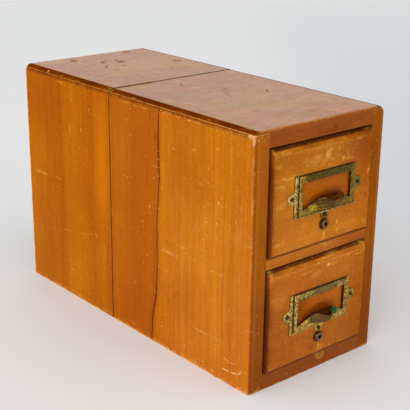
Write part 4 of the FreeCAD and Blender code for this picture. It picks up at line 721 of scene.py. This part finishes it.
    # painted shadow of the lip on the wood behind it, seen over its edge: a dark stroke along the left wing, a darker
    # pool and a soft fade
    u2, v2 = g.sub(x, PULL_X), g.sub(z, pz)
    gn = g.noise(g.scaled(300.0, 300.0, 300.0, (seed, 4, 4)), 3.0, 0.6)
    gw = g.mul(g.sub(gn, 0.5), 1.1)
    if which == "upper":
        line = g.stroke(u2, v2, [(-31.5, -15.2), (-26.5, -12.6), (-17.7, -9.6), (-8.1, -6.8), (0.0, -5.2)], 1.3, 0.35, 0.9)
        lip_shadow_pool = g.most([g.blob(u2, v2, 5.0, -8.0, 14.0, 4.2, 0.10, 0.25, gw, 0.72), g.blob(u2, v2, 18.0, -6.8, 9.5, 4.0, 0.0, 0.3, gw, 0.80),
                       g.blob(u2, v2, 26.5, -9.5, 4.0, 3.4, 0.0, 0.4, None, 0.85)])
        soft = g.blob(u2, v2, -1.0, -8.0, 33.0, 11.0, 0.18, 0.1, gw, 0.85)
    else:
        line = g.stroke(u2, v2, [(-32.6, -14.4), (-27.3, -12.4), (-19.7, -9.9), (-12.0, -8.0), (-4.0, -6.4)], 1.3, 0.35, 0.9)
        lip_shadow_pool = g.most([g.blob(u2, v2, 5.0, -8.6, 15.0, 3.8, 0.04, 0.25, gw, 0.75), g.blob(u2, v2, 16.0, -9.0, 7.0, 4.6, 0.0, 0.3, gw, 0.80)])
        soft = g.blob(u2, v2, -2.0, -7.0, 34.0, 13.0, 0.15, 0.1, gw, 0.92)
    col = g.mix(g.mul(soft, win), col, srgb(124, 52, 2))
    col = g.mix(g.mul(lip_shadow_pool, win), col, srgb(76, 34, 4))
    col = g.mix(g.mul(line, win), col, srgb(58, 20, 4))
    if which == "lower":
        col = g.mix(g.mul(g.blob(u2, v2, 21.6, -9.6, 2.0, 3.4, 0.1, 0.5, gw, 0.8), win), col, srgb(28, 78, 40))
    col = g.mix(pm, col, g.mix(ns, srgb(212, 146, 56), srgb(234, 176, 90)))
    col = g.mix(g.most([g.most(dark), halo, inside, rod_h]), col, srgb(84, 38, 8))
    back = g.rng(y, -0.2125, -0.2100)
    col = g.mix(back, col, g.mix(gr["band"], srgb(150, 104, 58), srgb(186, 138, 86)))
    rr = g.add(0.42, g.mul(g.sub(gr["mottle"], 0.5), 0.25), g.mul(pm, 0.12))
    if which == "upper":
        col = g.tint(col, (0.86, 0.86, 0.45))
        col = g.tint(col, (0.82, 0.68, 0.3), g.mul(g.rng(x, 0.0, 0.06), g.rng(z, 0.19, 0.24)))
        col = g.tint(col, (0.90, 0.80, 0.6), g.rng(x, 0.02, 0.07))
        col = g.tint(col, (0.91, 0.88, 0.7), g.rng(z, 0.225, 0.25))
        col = g.tint(col, (0.94, 0.90, 0.6), g.rng(x, 0.045, 0.065))
        col = g.tint(col, (0.94, 0.91, 0.8), g.rng(z, 0.235, 0.250))
    else:
        col = g.tint(col, (0.77, 0.73, 0.38))
        col = g.tint(col, (1.19, 1.28, 1.45), g.rng(z, 0.09, 0.125))
        col = g.tint(col, (0.90, 0.84, 0.8), g.mul(g.rng(x, 0.02, 0.07), g.rng(z, 0.12, 0.08)))
        col = g.tint(col, (0.92, 0.92, 0.9), g.m("MAXIMUM", g.rng(x, -0.04, -0.065), g.rng(x, 0.045, 0.065)))
    col = g.tint(col, (1.02, 0.93, 1.8), bev_l)
    col = g.tint(col, (1.0, 0.97, 1.3), bev_t)
    col = g.mix(g.mul(pm, 0.30), col, srgb(226, 164, 76))
    nrm = g.bump(g.add(g.mul(gr["fibre"], 0.4), g.mul(gr["mottle"], 0.8), g.mul(pm, 0.5)), 0.15, 0.0005)
    return g.finish(col, rr, nrm, spec=g.sub(0.08, g.m("MAXIMUM", g.mul(g.m("MAXIMUM", bev_l, bev_t), 0.06), g.mul(g.rng(x, 0.04, 0.07), 0.05))))


def plain_wood(name, along, seed, dark_c, light_c, rough=0.6, ply=False):
    g = Graph(name)
    gr = grain(g, along, seed, lines=220.0, stretch=0.04, bend=0.006)
    t = g.add(0.5, g.mul(g.sub(gr["band"], 0.5), 1.1), g.mul(g.sub(gr["line"], 0.5), 0.5), g.mul(g.sub(gr["fibre"], 0.5), 0.3), g.mul(g.sub(gr["cloud"], 0.5), 0.4))
    mid = tuple((a + b) / 2 for a, b in zip(dark_c, light_c))
    col = ramp3(g, t, dark_c, mid, light_c)
    ns = g.noise(g.scaled(240.0, 240.0, 240.0, (seed, 0, 0)), 3.0, 0.6)
    col = g.mix(g.mul(g.rng(gr["cloud"], 0.55, 0.75), 0.35), col, tuple(c * 0.62 for c in dark_c))
    col = g.mix(g.mul(specks(g, 120.0, 0.10, 0.10, seed), 0.5), col, tuple(c * 0.4 for c in dark_c))
    if ply:
        w = g.t.nodes.new("ShaderNodeTexWave")
        w.wave_type = "BANDS"
        w.bands_direction = "Z"
        g.put(w.inputs["Vector"], g.scaled(1, 1, 1))
        w.inputs["Scale"].default_value = 190.0
        w.inputs["Distortion"].default_value = 0.4
        n = g.normal()
        edge = g.rng(g.abs(n[2]), 0.6, 0.3)
        col = g.mix(g.mul(edge, w.outputs[1] if False else w.outputs["Fac"], 0.5), col, tuple(c * 0.45 for c in dark_c))
    nrm = g.bump(g.add(g.mul(gr["fibre"], 0.6), g.mul(gr["line"], 0.4)), 0.2, 0.0004)
    return g.finish(col, g.add(rough, g.mul(g.sub(gr["mottle"], 0.5), 0.15)), nrm, spec=0.25)


paint("left_side_front_board", side_board("left_side_front", 1.0, True, False))
paint("left_side_rear_board", side_board("left_side_rear", 2.0, True, True))
paint("right_side_front_board", side_board("right_side_front", 3.0, False, False))
paint("right_side_rear_board", side_board("right_side_rear", 4.0, False, True))
paint("top_front_board", top_board("top_front", 5.0, False))
paint("top_rear_board", top_board("top_rear", 6.0, True))
paint("bottom_front_board", rail("bottom_front", 7.0, "base"))
paint("bottom_rear_board", rail("bottom_rear", 8.0, "base"))
paint("divider_rail", rail("divider", 9.0, "divider"))
INNER_D, INNER_L = srgb(150, 100, 54), srgb(198, 148, 92)
paint("left_runner", plain_wood("left_runner_wood", "y", 11.0, INNER_D, INNER_L))
paint("right_runner", plain_wood("right_runner_wood", "y", 12.0, INNER_D, INNER_L))
paint("divider_rear_rail", plain_wood("rear_rail_wood", "x", 13.0, INNER_D, INNER_L))
paint("back_panel", plain_wood("back_panel_ply", "z", 14.0, srgb(124, 76, 34), srgb(170, 112, 58), 0.6, True))
for i, w in enumerate(("upper", "lower")):
    s = 20.0 + 8 * i
    paint(w + "_drawer_stop", plain_wood(w + "_stop_wood", "x", s, INNER_D, INNER_L))
    paint(w + "_drawer_front", drawer_front(w + "_front_wood", s + 1, w))
    paint(w + "_drawer_left_side", plain_wood(w + "_left_wood", "y", s + 2, srgb(166, 116, 66), srgb(208, 160, 104)))
    paint(w + "_drawer_right_side", plain_wood(w + "_right_wood", "y", s + 3, srgb(166, 116, 66), srgb(208, 160, 104)))
    paint(w + "_drawer_back", plain_wood(w + "_back_wood", "x", s + 4, srgb(160, 110, 62), srgb(202, 154, 98)))
    paint(w + "_drawer_bottom", plain_wood(w + "_bottom_ply", "y", s + 5, srgb(168, 122, 74), srgb(206, 164, 110), 0.65, True))
    paint(w + "_follower_block", plain_wood(w + "_follower_wood", "x", s + 6, srgb(150, 92, 40), srgb(192, 132, 70), 0.5))

# ------------------------------------------------------------------ metal


def metal(name, stops, seed, rough=(0.5, 0.3), scale=1.0, metallic=1.0, bumps=0.5, extra=None):
    g = Graph(name)
    a = g.noise(g.scaled(420 * scale, 420 * scale, 420 * scale, (seed, seed, 0)), 4.0, 0.65)
    b = g.noise(g.scaled(95 * scale, 95 * scale, 95 * scale, (seed, 2, seed)), 3.0, 0.55)
    dimple = g.voronoi(g.scaled(900 * scale, 900 * scale, 900 * scale, (seed, 0, 1))).outputs["Distance"]
    t = g.add(g.mul(a, 0.55), g.mul(b, 0.45))
    t = g.rng(t, 0.32, 0.68, 0.0, 1.0, "LINEAR")
    col = g.ramp(t, stops)
    h = g.add(g.mul(a, 0.8), g.mul(dimple, 0.35))
    rr = g.rng(t, 0.0, 1.0, rough[0], rough[1], "LINEAR")
    met = metallic
    if extra:
        col, rr, met, h = extra(g, col, rr, met, h, a, b)
    nrm = g.bump(h, bumps, 0.0004)
    return g.finish(col, rr, nrm, metallic=met, spec=g.mul(0.5, met))


def brass_look(which, seed):
    pz = PULLS[which]
    upper = which == "upper"

    def extra(g, col, rr, met, h, a, b):
        x, y, z = g.x, g.y, g.z
        u = g.sub(x, PULL_X)
        v = g.sub(z, pz)
        p = g.sub(FACE, y)                                  # distance from the wood
        fine = g.rng(a, 0.40, 0.62)
        n = g.normal()
        k = 0.49 if upper else 0.69
        xs, zs = g.add(u, g.mul(p, 1.105)), g.sub(v, g.mul(p, k))   # skewed: the places where the lip's patches lie on its slanting sides
        low = g.rng(v, -0.0142, -0.0160)
        left = g.rng(u, -0.0350, -0.0385)
        # top rail: dark olive brown, the lower pull's rubbed at both ends
        toprail = g.rng(v, 0.0150, 0.0165)
        if upper:
            col = g.mix(g.mul(toprail, g.rng(u, -0.0360, -0.0290), 0.85), col, g.mix(fine, srgb(82, 64, 12), srgb(98, 78, 20)))
            col = g.mix(g.mul(left, 0.6), col, g.mix(fine, srgb(134, 102, 32), srgb(214, 176, 100)))
            col = g.mix(g.mul(g.rng(u, -0.0405, -0.0412), 0.7), col, g.mix(g.rng(a, 0.40, 0.56), srgb(130, 98, 30), srgb(238, 206, 118)))
            col = g.mix(g.mul(low, 0.7), col, g.mix(fine, srgb(102, 80, 12), srgb(146, 116, 28)))
            col = g.mix(g.mul(low, g.rng(u, -0.016, -0.030), 0.35), col, srgb(176, 142, 52))
        else:
            sp = g.rng(a, 0.46, 0.56)
            col = g.mix(g.mul(toprail, 0.8), col, g.mix(sp, srgb(106, 82, 26), srgb(196, 164, 90)))
            grey = g.mul(toprail, g.band(u, -0.012, 0.020, 0.005), 0.75)
            col = g.mix(grey, col, srgb(116, 94, 54))
            col = g.mix(g.mul(left, 0.8), col, g.mix(fine, srgb(136, 106, 24), srgb(238, 208, 126)))
            col = g.mix(g.mul(low, 0.8), col, g.mix(fine, srgb(146, 112, 26), srgb(224, 188, 96)))
        right = g.rng(u, 0.0355, 0.0375)
        col = g.mix(g.mul(right, 0.65), col, g.mix(fine, srgb(98, 80, 22), srgb(150, 128, 52)) if upper else g.mix(fine, srgb(110, 86, 26), srgb(196, 168, 84)))
        # rubbed arrises
        edge_l = g.rng(g.abs(g.add(u, 0.0457)), 0.0007, 0.0003)
        edge_b = g.rng(g.abs(g.add(v, 0.0232)), 0.0007, 0.0003)
        col = g.mix(g.mul(g.m("MAXIMUM", g.mul(edge_l, 0.6), edge_b), g.rng(a, 0.42, 0.55), 0.8), col, srgb(226, 208, 146))
        # grime in the groove at the ring's foot and on every sunk edge
        foot = g.m("MAXIMUM", g.sub(g.abs(u), 0.0410), g.sub(g.abs(g.sub(v, 0.0013)), 0.0217))
        gro = g.m("MAXIMUM", g.mul(g.rng(g.abs(foot), 0.0011, 0.0003), g.rng(p, 0.0030, 0.0022), 0.9), g.mul(g.band(v, -0.0220, -0.0206, 0.0002), g.rng(g.abs(u), 0.0440, 0.0430), g.rng(p, 0.0018, 0.0014), 0.8))
        side = g.mul(g.rng(p, 0.0010, 0.0004), 0.9)
        win = g.m("MAXIMUM", g.sub(g.abs(u), 0.0363), g.sub(g.abs(g.sub(v, 0.0008)), 0.0145))
        inner = g.mul(g.rng(win, 0.0004, 0.0), g.rng(p, 0.0034, 0.0031), 0.92)
        dirt = g.most([gro, side, inner])
        col = g.mix(dirt, col, srgb(44, 22, 4))
        # the lip: brown grey and smooth in the middle, sulphur yellow on the left wing, dark on the right one
        lip = g.rng(p, 0.0034, 0.0044)
        soft = g.noise(g.scaled(130, 130, 130, (seed, 7, 1)), 3.0, 0.5)
        wv = g.mul(g.sub(a, 0.5), 1.2)
        lipc = g.mix(g.rng(soft, 0.35, 0.65), srgb(88, 64, 32), srgb(112, 92, 48) if upper else srgb(116, 88, 52))
        mid = g.mul(lip, g.rng(xs, -0.0165, -0.0105))
        col = g.mix(g.mul(mid, 0.92), col, lipc)
        if upper:
            olive = g.mul(g.blob(xs, zs, 1.0, -17.6, 14.0, 2.4, -0.12, 0.3, wv, 0.7), g.rng(p, 0.0026, 0.0034))
            col = g.mix(olive, col, g.mix(fine, srgb(96, 78, 10), srgb(150, 128, 44)))
            yel = g.blob(xs, zs, -16.6, -16.2, 8.5, 3.6, 0.0, 0.35, wv, 0.9)
            col = g.mix(yel, col, g.mix(fine, srgb(150, 128, 6), srgb(222, 206, 40)))
            tip = g.blob(xs, zs, -22.5, -13.2, 3.0, 1.5, 0.4, 0.3, wv, 0.7)
            col = g.mix(tip, col, srgb(196, 156, 96))
            # dark right ear: tarnish with painted shade on the lip's inner face
            ear = g.mul(g.most([g.blob(xs, zs, 26.5, -12.0, 6.0, 7.5, 0.0, 0.6, g.mul(wv, 0.4), 0.97), g.blob(xs, zs, 18.0, -12.0, 8.0, 4.0, 0.1, 0.5, None, 0.85)]), g.rng(p, 0.0034, 0.0040))
            col = g.mix(ear, col, g.mix(soft, srgb(56, 34, 6), srgb(82, 52, 16)))
            # painted shade: a dark band along the lip's curled edge
            shade = g.mul(g.stroke(xs, zs, [(-19.5, -10.8), (-16.2, -9.9), (-7.1, -9.4), (2.2, -10.8), (11.7, -12.9), (21.2, -14.6), (29.2, -15.2)], 2.5, 0.45, 0.85), g.rng(p, 0.0036, 0.0044))
            col = g.mix(shade, col, g.mix(soft, srgb(54, 26, 1), srgb(70, 40, 6)))
            wing = g.mul(g.blob(xs, zs, 24.0, -17.0, 10.0, 4.6, 0.0, 0.4, g.mul(wv, 0.4), 0.75), g.rng(p, 0.0030, 0.0038))
            col = g.mix(wing, col, g.mix(fine, srgb(96, 66, 14), srgb(128, 92, 30)))
            back = g.most([ear, g.mul(shade, 0.9), g.mul(wing, 0.8)])
        else:
            yel = g.blob(xs, zs, -21.0, -15.0, 8.0, 3.6, 0.0, 0.35, wv, 0.9)
            col = g.mix(yel, col, g.mix(fine, srgb(178, 140, 30), srgb(250, 214, 96)))
            # dark ear on the right: tarnish with painted shade on the lip's inner face
            ear = g.mul(g.most([g.blob(xs, zs, 24.8, -12.0, 5.6, 8.0, 0.0, 0.6, None, 0.95)]), g.rng(p, 0.0034, 0.0042))
            col = g.mix(ear, col, g.mix(soft, srgb(58, 34, 8), srgb(92, 62, 22)))
            vg = g.mul(g.blob(xs, zs, 24.6, -13.2, 5.6, 5.8, 0.1, 0.6, g.mul(wv, 0.3), 1.0), g.rng(p, 0.0028, 0.0034))
            col = g.mix(vg, col, g.mix(fine, srgb(4, 74, 36), srgb(44, 122, 78)))
            tip = g.mul(g.blob(xs, zs, 32.5, -14.5, 4.0, 4.2, 0.0, 0.5, g.mul(wv, 0.4), 0.9), g.rng(p, 0.0026, 0.0032), g.inv(vg))
            col = g.mix(tip, col, g.mix(fine, srgb(116, 88, 22), srgb(186, 156, 66)))
            met = g.mul(met, g.inv(vg))
            rr = g.add(rr, g.mul(vg, 0.3))
            back = g.most([vg, ear, g.mul(tip, 0.8)])
            vs = g.mul(specks(g, 500.0, 0.2, 0.08, 4.0), 0.5)
            col = g.mix(vs, col, srgb(60, 104, 50))
        # painted shade and reflection of the wood: the lip's inner face, picked by its normal, made dark brown
        inface = g.mul(lip, g.rng(n[1], 0.05, 0.35), g.inv(back))
        col = g.mix(g.mul(inface, 0.9), col, srgb(62, 38, 12))
        met = g.mul(met, g.sub(1.0, g.mul(dirt, 0.8)), g.sub(1.0, back))
        rr = g.add(g.sub(rr, g.mul(mid, 0.05)), g.mul(dirt, 0.25), g.mul(back, 0.35))
        h = g.mul(h, g.sub(1.0, g.mul(mid, 0.7)))
        return col, rr, met, h
    stops = [(0.0, srgb(74, 54, 10)), (0.35, srgb(114, 88, 24)), (0.65, srgb(150, 118, 40)), (1.0, srgb(204, 168, 80))] if upper else \
            [(0.0, srgb(80, 56, 12)), (0.35, srgb(136, 100, 30)), (0.65, srgb(184, 146, 54)), (1.0, srgb(232, 192, 100))]
    return metal(which + "_pull_brass", stops, seed, (0.55, 0.34), 1.0, 1.0, 0.6, extra)


DARK = [(0.0, srgb(36, 20, 12)), (0.5, srgb(72, 46, 30)), (1.0, srgb(112, 80, 54))]
M_FERRULE = metal("ferrule_dark_brass", DARK, 3.0, (0.55, 0.38), 0.9)


def head_look(g, col, rr, met, h, a, b):
    rzu, rzl = RODS["upper"], RODS["lower"]
    zz = g.m("MINIMUM", g.abs(g.sub(g.z, rzu)), g.abs(g.sub(g.z, rzl)))
    d = g.m("SQRT", g.add(g.m("POWER", g.sub(g.x, PULL_X), 2.0), g.m("POWER", zz, 2.0)))
    front = g.rng(g.y, -0.2205, -0.2215)
    ringc = g.mul(front, g.band(d, 0.0026, 0.0037, 0.0003), 0.6)
    col = g.mix(ringc, col, srgb(128, 96, 68))
    # a black disc painted at the centre as the shade inside the bore
    hole = g.mul(front, g.rng(d, 0.0023, 0.0021))
    col = g.mix(hole, col, srgb(12, 8, 6))
    return col, rr, met, h


M_ROD = metal("rod_old_brass", [(0.0, srgb(70, 50, 34)), (0.5, srgb(112, 88, 60)), (1.0, srgb(150, 124, 88))], 5.0, (0.5, 0.32), 0.8, 1.0, 0.3, head_look)
M_SCREW = metal("old_screw_brass", [(0.0, srgb(34, 22, 10)), (0.5, srgb(82, 62, 30)), (1.0, srgb(120, 96, 50))], 7.0, (0.6, 0.4), 1.4)
for n in NODES:
    if "ferrule" in n or "bush" in n:
        paint(n, M_FERRULE)
    elif "guide_rod" in n:
        paint(n, M_ROD)
    elif "screws" in n:
        paint(n, M_SCREW)

# ------------------------------------------------------------------ the pulls, as pressed sheet


def arc(cx, cz, r, a0, a1, n):
    return [(cx + r * math.cos(math.radians(a0 + (a1 - a0) * i / n)), cz + r * math.sin(math.radians(a0 + (a1 - a0) * i / n))) for i in range(n + 1)]


def rect(cx, cz, w, h, r, n=5):
    hw, hh = w / 2, h / 2
    out = []
    for sx, sz, a in ((1, 1, 0), (-1, 1, 90), (-1, -1, 180), (1, -1, 270)):
        out += arc(cx + sx * (hw - r), cz + sz * (hh - r), r, a, a + 90, n)
    return out


def sheet(loops, back, front, bevel, res=2):
    """Flat plate between two distances from the wood, cut to loops (first outside, rest holes), all in mm, with eased edges."""
    cu = bpy.data.curves.new("plate", "CURVE")
    cu.dimensions, cu.fill_mode = "2D", "BOTH"
    for lp in loops:
        s = cu.splines.new("POLY")
        s.points.add(len(lp) - 1)
        for p, (a, b) in zip(s.points, lp):
            p.co = (a * MM, b * MM, 0, 1)
        s.use_cyclic_u = True
    t = front - back
    cu.extrude = (t / 2 - bevel) * MM
    cu.bevel_depth, cu.bevel_resolution = bevel * MM, res
    cu.offset = -bevel * MM
    ob = bpy.data.objects.new("plate", cu)
    scene.collection.objects.link(ob)
    dg = bpy.context.evaluated_depsgraph_get()
    me = bpy.data.meshes.new_from_object(ob.evaluated_get(dg))
    bpy.data.objects.remove(ob)
    bpy.data.curves.remove(cu)
    bm = bmesh.new()
    bm.from_mesh(me)
    bpy.data.meshes.remove(me)
    mid = (front + back) / 2 * MM
    for v in bm.verts:
        x, z, d = v.co
        v.co = (x, -(mid + d), z)
    bmesh.ops.remove_doubles(bm, verts=bm.verts, dist=1e-6)
    bmesh.ops.recalc_face_normals(bm, faces=bm.faces)
    return bm


def flange_outline():
    W, H, F = 45.7, 23.2, 2.5
    R, cx = 6.2, 50.0
    pts = []
    # lower edge with the drop lug, from left to right
    r, cz = 5.6, -26.6
    xf = W + F                                            # centre line of the neck fillets at the side lugs
    dz = math.sqrt((R + F) ** 2 - (cx - xf) ** 2)
    zf = -H - F
    dx = math.sqrt((r + F) ** 2 - (zf - cz) ** 2)
    nip_c, nip_r = -37.2, 6.6
    pts += [(-W + 0.6, -H), ]
    a = math.degrees(math.atan2(cz - zf, dx))
    pts += arc(-dx, zf, F, 90, a, 6)
    d = cz - nip_c
    aa = (r * r - nip_r * nip_r + d * d) / (2 * d)
    hh = math.sqrt(max(0.0, r * r - aa * aa))
    a_cut = math.degrees(math.atan2(-aa, -hh))
    a_start = math.degrees(math.atan2(zf - cz, -dx))
    a_start = a_start if a_start < 0 else a_start - 360
    pts += arc(0, cz, r, a_start, a_cut, 8)[1:]
    b0 = math.degrees(math.atan2(cz - aa - nip_c, -hh))
    pts += arc(0, nip_c, nip_r, b0, 180 - b0, 8)[1:]
    pts += [(-p[0], p[1]) for p in reversed(arc(0, cz, r, a_start, a_cut, 8)[1:-1])]
    pts += [(-p[0], p[1]) for p in reversed(arc(-dx, zf, F, 90, a, 6))]
    pts += [(W - 0.6, -H), (W, -H + 0.6)]
    # right lug
    th = math.degrees(math.atan2(dz, cx - xf))
    right = arc(xf, -dz, F, 180, th, 6)[:-1]
    lug = arc(cx, 0, R, -(180 - th) if False else math.degrees(math.atan2(-dz, xf - cx)), math.degrees(math.atan2(dz, xf - cx)), 22)
    up = [(p[0], -p[1]) for p in reversed(right)]
    pts += right + lug + up
    pts += [(W, H - 0.6), (W - 0.6, H), (-W + 0.6, H), (-W, H - 0.6)]
    pts += [(-p[0], -p[1]) for p in right + lug + up]
    pts += [(-W, -H + 0.6)]
    return pts


RIM = [(0.0, 17.8, 8.2), (3.0, 16.9, 8.3), (6.0, 14.9, 8.9), (10.0, 12.2, 10.5), (14.0, 9.6, 11.2), (18.0, 7.2, 9.4), (22.0, 5.6, 6.9),
       (26.0, 4.6, 4.5), (30.0, 3.9, 2.3), (34.0, 3.4, 0.6), (36.0, 3.2, 0.1), (40.0, 3.2, 0.0)]


def rim_at(x):
    """Distance from the wood and height over the rail of the lip's free edge, smoothed between the stations."""
    a = abs(x)
    k = max(j for j in range(len(RIM) - 1) if RIM[j][0] <= a + 1e-9)
    p = [RIM[max(0, k - 1)] if k else (-RIM[1][0],) + RIM[1][1:], RIM[k], RIM[k + 1], RIM[min(len(RIM) - 1, k + 2)]]
    t = (a - p[1][0]) / (p[2][0] - p[1][0])
    res = []
    for c in (1, 2):
        m1 = (p[2][c] - p[0][c]) / (p[2][0] - p[0][0]) * (p[2][0] - p[1][0])
        m2 = (p[3][c] - p[1][c]) / max(1e-6, p[3][0] - p[1][0]) * (p[2][0] - p[1][0])
        res.append((2 * t ** 3 - 3 * t * t + 1) * p[1][c] + (t ** 3 - 2 * t * t + t) * m1 + (3 * t * t - 2 * t ** 3) * p[2][c] + (t ** 3 - t * t) * m2)
    return res


def lip_mesh(rail_top, seed):
    """Finger lip: springs from the lower rail, runs out under the finger and curls up to a wavy free edge."""
    bm = bmesh.new()
    NX, NV = 60, 12
    rows = []
    for i in range(NX + 1):
        u = -1 + 2 * i / NX
        x = u * 35.9
        reach, rise = rim_at(x)
        p0, z0 = 2.7, rail_top - 1.6
        p3, z3 = reach, rail_top + rise
        out = max(0.0, reach - 3.2)
        k = min(1.0, out / 12.0)
        # belly of the curl
        p1, z1 = p0 + out * 0.55, z0 - 0.2 - 1.1 * k
        p2, z2 = p3 + 0.9 * k, z0 + (z3 - z0) * (0.18 + 0.30 * (1 - k))
        row = []
        for j in range(NV + 1):
            t = j / NV
            b = ((1 - t) ** 3, 3 * t * (1 - t) ** 2, 3 * t * t * (1 - t), t ** 3)
            p = b[0] * p0 + b[1] * p1 + b[2] * p2 + b[3] * p3
            z = b[0] * z0 + b[1] * z1 + b[2] * z2 + b[3] * z3
            # the metal is old and a little knocked about
            wob = 0.16 * math.sin(x * 0.9 + seed) * math.sin(t * 3.0 + x * 0.33) * min(1.0, out / 3)
            row.append(bm.verts.new((x * MM, -(p + wob) * MM, (z + 0.4 * wob) * MM)))
        rows.append(row)
    for i in range(NX):
        for j in range(NV):
            bm.faces.new((rows[i][j], rows[i + 1][j], rows[i + 1][j + 1], rows[i][j + 1]))
    bmesh.ops.recalc_face_normals(bm, faces=bm.faces)
    return bm


def join(parts):
    bm = bmesh.new()
    for q in parts:
        me = bpy.data.meshes.new("tmp")
        q.to_mesh(me)
        q.free()
        bm.from_mesh(me)
        bpy.data.meshes.remove(me)
    return bm


def thicken(bm, t, bevel):
    """Gives an open sheet a thickness with rounded edges, by modifiers applied at once."""
    me = bpy.data.meshes.new("tmp")
    bm.to_mesh(me)
    bm.free()
    ob = bpy.data.objects.new("tmp", me)
    scene.collection.objects.link(ob)
    m = ob.modifiers.new("s", "SOLIDIFY")
    m.thickness, m.offset = t * MM, 0.0
    m.use_even_offset = True
    if bevel:
        b = ob.modifiers.new("b", "BEVEL")
        b.width, b.segments, b.limit_method, b.angle_limit = bevel * MM, 2, "ANGLE", math.radians(50)
    dg = bpy.context.evaluated_depsgraph_get()
    res = bpy.data.meshes.new_from_object(ob.evaluated_get(dg))
    bpy.data.objects.remove(ob)
    bpy.data.meshes.remove(me)
    out = bmesh.new()
    out.from_mesh(res)
    bpy.data.meshes.remove(res)
    bmesh.ops.recalc_face_normals(out, faces=out.faces)
    return out


def pull(which, seed):
    zc = PULLS[which]
    holes = [arc(cx, cz, 1.45, 0, -345, 23) for cx, cz in ((-50.0, 0.0), (50.0, 0.0), (0.0, -26.6))]
    hollow = list(reversed(rect(0, 1.3, 82.0 - 1.8, 43.4 - 1.8, 0.4)))
    window = list(reversed(rect(0, 0.8, 72.6, 29.0, 0.35)))
    outer = rect(0, 1.3, 82.0, 43.2, 1.0)
    flange = sheet([flange_outline(), hollow] + holes, 0.0, 1.2, 0.25)
    wall = sheet([outer, hollow], 0.9, 2.9, 0.1, 0)
    plate = sheet([outer, window], 2.4, 3.3, 0.32)
    lip = thicken(lip_mesh(0.8 - 14.5, seed), 1.15, 0.35)
    bm = join([flange, wall, plate, lip])
    me = bpy.data.meshes.new(which + "_pull_sheet")
    bm.to_mesh(me)
    bm.free()
    for v in me.vertices:
        v.co += Vector((PULL_X, FACE, zc))
    me.update()
    for poly in me.polygons:
        poly.use_smooth = True
    ob = bpy.data.objects.new(which + "_pull_sheet", me)
    scene.collection.objects.link(ob)
    me.set_sharp_from_angle(angle=math.radians(38))
    me.materials.append(brass_look(which, seed))
    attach(ob, which + "_drawer")
    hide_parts(which + "_pull")
    return ob


pull("upper", 1.3)
pull("lower", 4.1)

# ------------------------------------------------------------------ stage, light, camera


def floor():
    me = bpy.data.meshes.new("floor")
    s = 9.0
    me.from_pydata([(-s, -s, 0), (s, -s, 0), (s, s, 0), (-s, s, 0)], [], [(0, 1, 2, 3)])
    o = bpy.data.objects.new("floor", me)
    scene.collection.objects.link(o)
    g = Graph("floor_pale")
    n = g.noise(g.scaled(0.8, 0.8, 0.8), 2.0, 0.5)
    base = g.mix(n, srgb(228, 229, 229), srgb(231, 232, 232))
    away = g.add(g.mul(g.x, 0.76), g.mul(g.y, -0.65))                  # to the right of the cabinet
    deep = g.add(g.mul(g.x, 0.61), g.mul(g.y, 0.72))
    # painted shade on the floor to the right of and behind the cabinet
    floor_shade = g.mul(g.rng(away, 0.05, 0.42), g.rng(deep, -0.30, 0.45), g.rng(deep, 3.6, 1.2))
    base = g.tint(base, (0.885, 0.90, 0.925), floor_shade)
    o.data.materials.append(g.finish(base, 0.75, spec=0.15))


floor()


def area(name, loc, target, size, power, color=(1, 1, 1), size_y=None):
    l = bpy.data.lights.new(name, "AREA")
    l.shape = "RECTANGLE"
    l.size, l.size_y = size, size_y or size
    l.energy, l.color = power, color
    o = bpy.data.objects.new(name, l)
    o.location = loc
    o.rotation_mode = "QUATERNION"
    o.rotation_quaternion = (Vector(target) - Vector(loc)).to_track_quat("-Z", "Y")
    scene.collection.objects.link(o)
    return o


area("side_box", (-2.3, -1.3, 0.9), (0, 0, 0.14), 1.2, 21.7)

w = bpy.data.worlds.new("world")
scene.world = w
w.use_nodes = True
nt = w.node_tree
bg = nt.nodes["Background"]
tc = nt.nodes.new("ShaderNodeTexCoord")


def lobe(direction, a, b, lo, hi):
    d = nt.nodes.new("ShaderNodeVectorMath")
    d.operation = "DOT_PRODUCT"
    nt.links.new(tc.outputs["Generated"], d.inputs[0])
    d.inputs[1].default_value = Vector(direction).normalized()
    r = nt.nodes.new("ShaderNodeMapRange")
    r.interpolation_type = "SMOOTHSTEP"
    nt.links.new(d.outputs["Value"], r.inputs[0])
    for i, v in enumerate((a, b, lo, hi)):
        r.inputs[i + 1].default_value = v
    return r.outputs[0]


def wadd(a, b):
    n = nt.nodes.new("ShaderNodeMath")
    n.operation = "ADD"
    nt.links.new(a, n.inputs[0])
    nt.links.new(b, n.inputs[1])
    return n.outputs[0]


sky = lobe((-1, 0.15, 0.25), 0.0, 1.0, 0.0, 1.30)
for way, a, b, k in (((0.25, -1, 0.25), 0.1, 1.0, 1.18), ((0.7, 0.7, 0.15), 0.2, 0.95, 0.50), ((0, 0, 1), 0.3, 1.0, 0.15), ((0.60, 0.74, 0.33), 0.80, 0.97, 0.60)):
    sky = wadd(sky, lobe(way, a, b, 0.0, k))
nt.links.new(sky, bg.inputs[1])
bg.inputs[0].default_value = (1, 1, 1, 1)

cam = bpy.data.cameras.new("camera")
cam.sensor_fit = "HORIZONTAL"
cam.sensor_width = 36.0
cam.lens = 987.9767 / 410.0 * 36.0
cam.clip_start, cam.clip_end = 0.05, 60
eye = bpy.data.objects.new("camera", cam)
right = Vector((0.76192866, -0.64757183, 0.01074476))
down = Vector((-0.20631536, -0.25840829, -0.94374739))
fwd = Vector((0.61392075, 0.71685137, -0.33049269))
eye.matrix_world = Matrix.Translation((-0.73620633, -0.88788245, 0.53978456)) @ Matrix((right, -down, -fwd)).transposed().to_4x4()
scene.collection.objects.link(eye)
scene.camera = eye
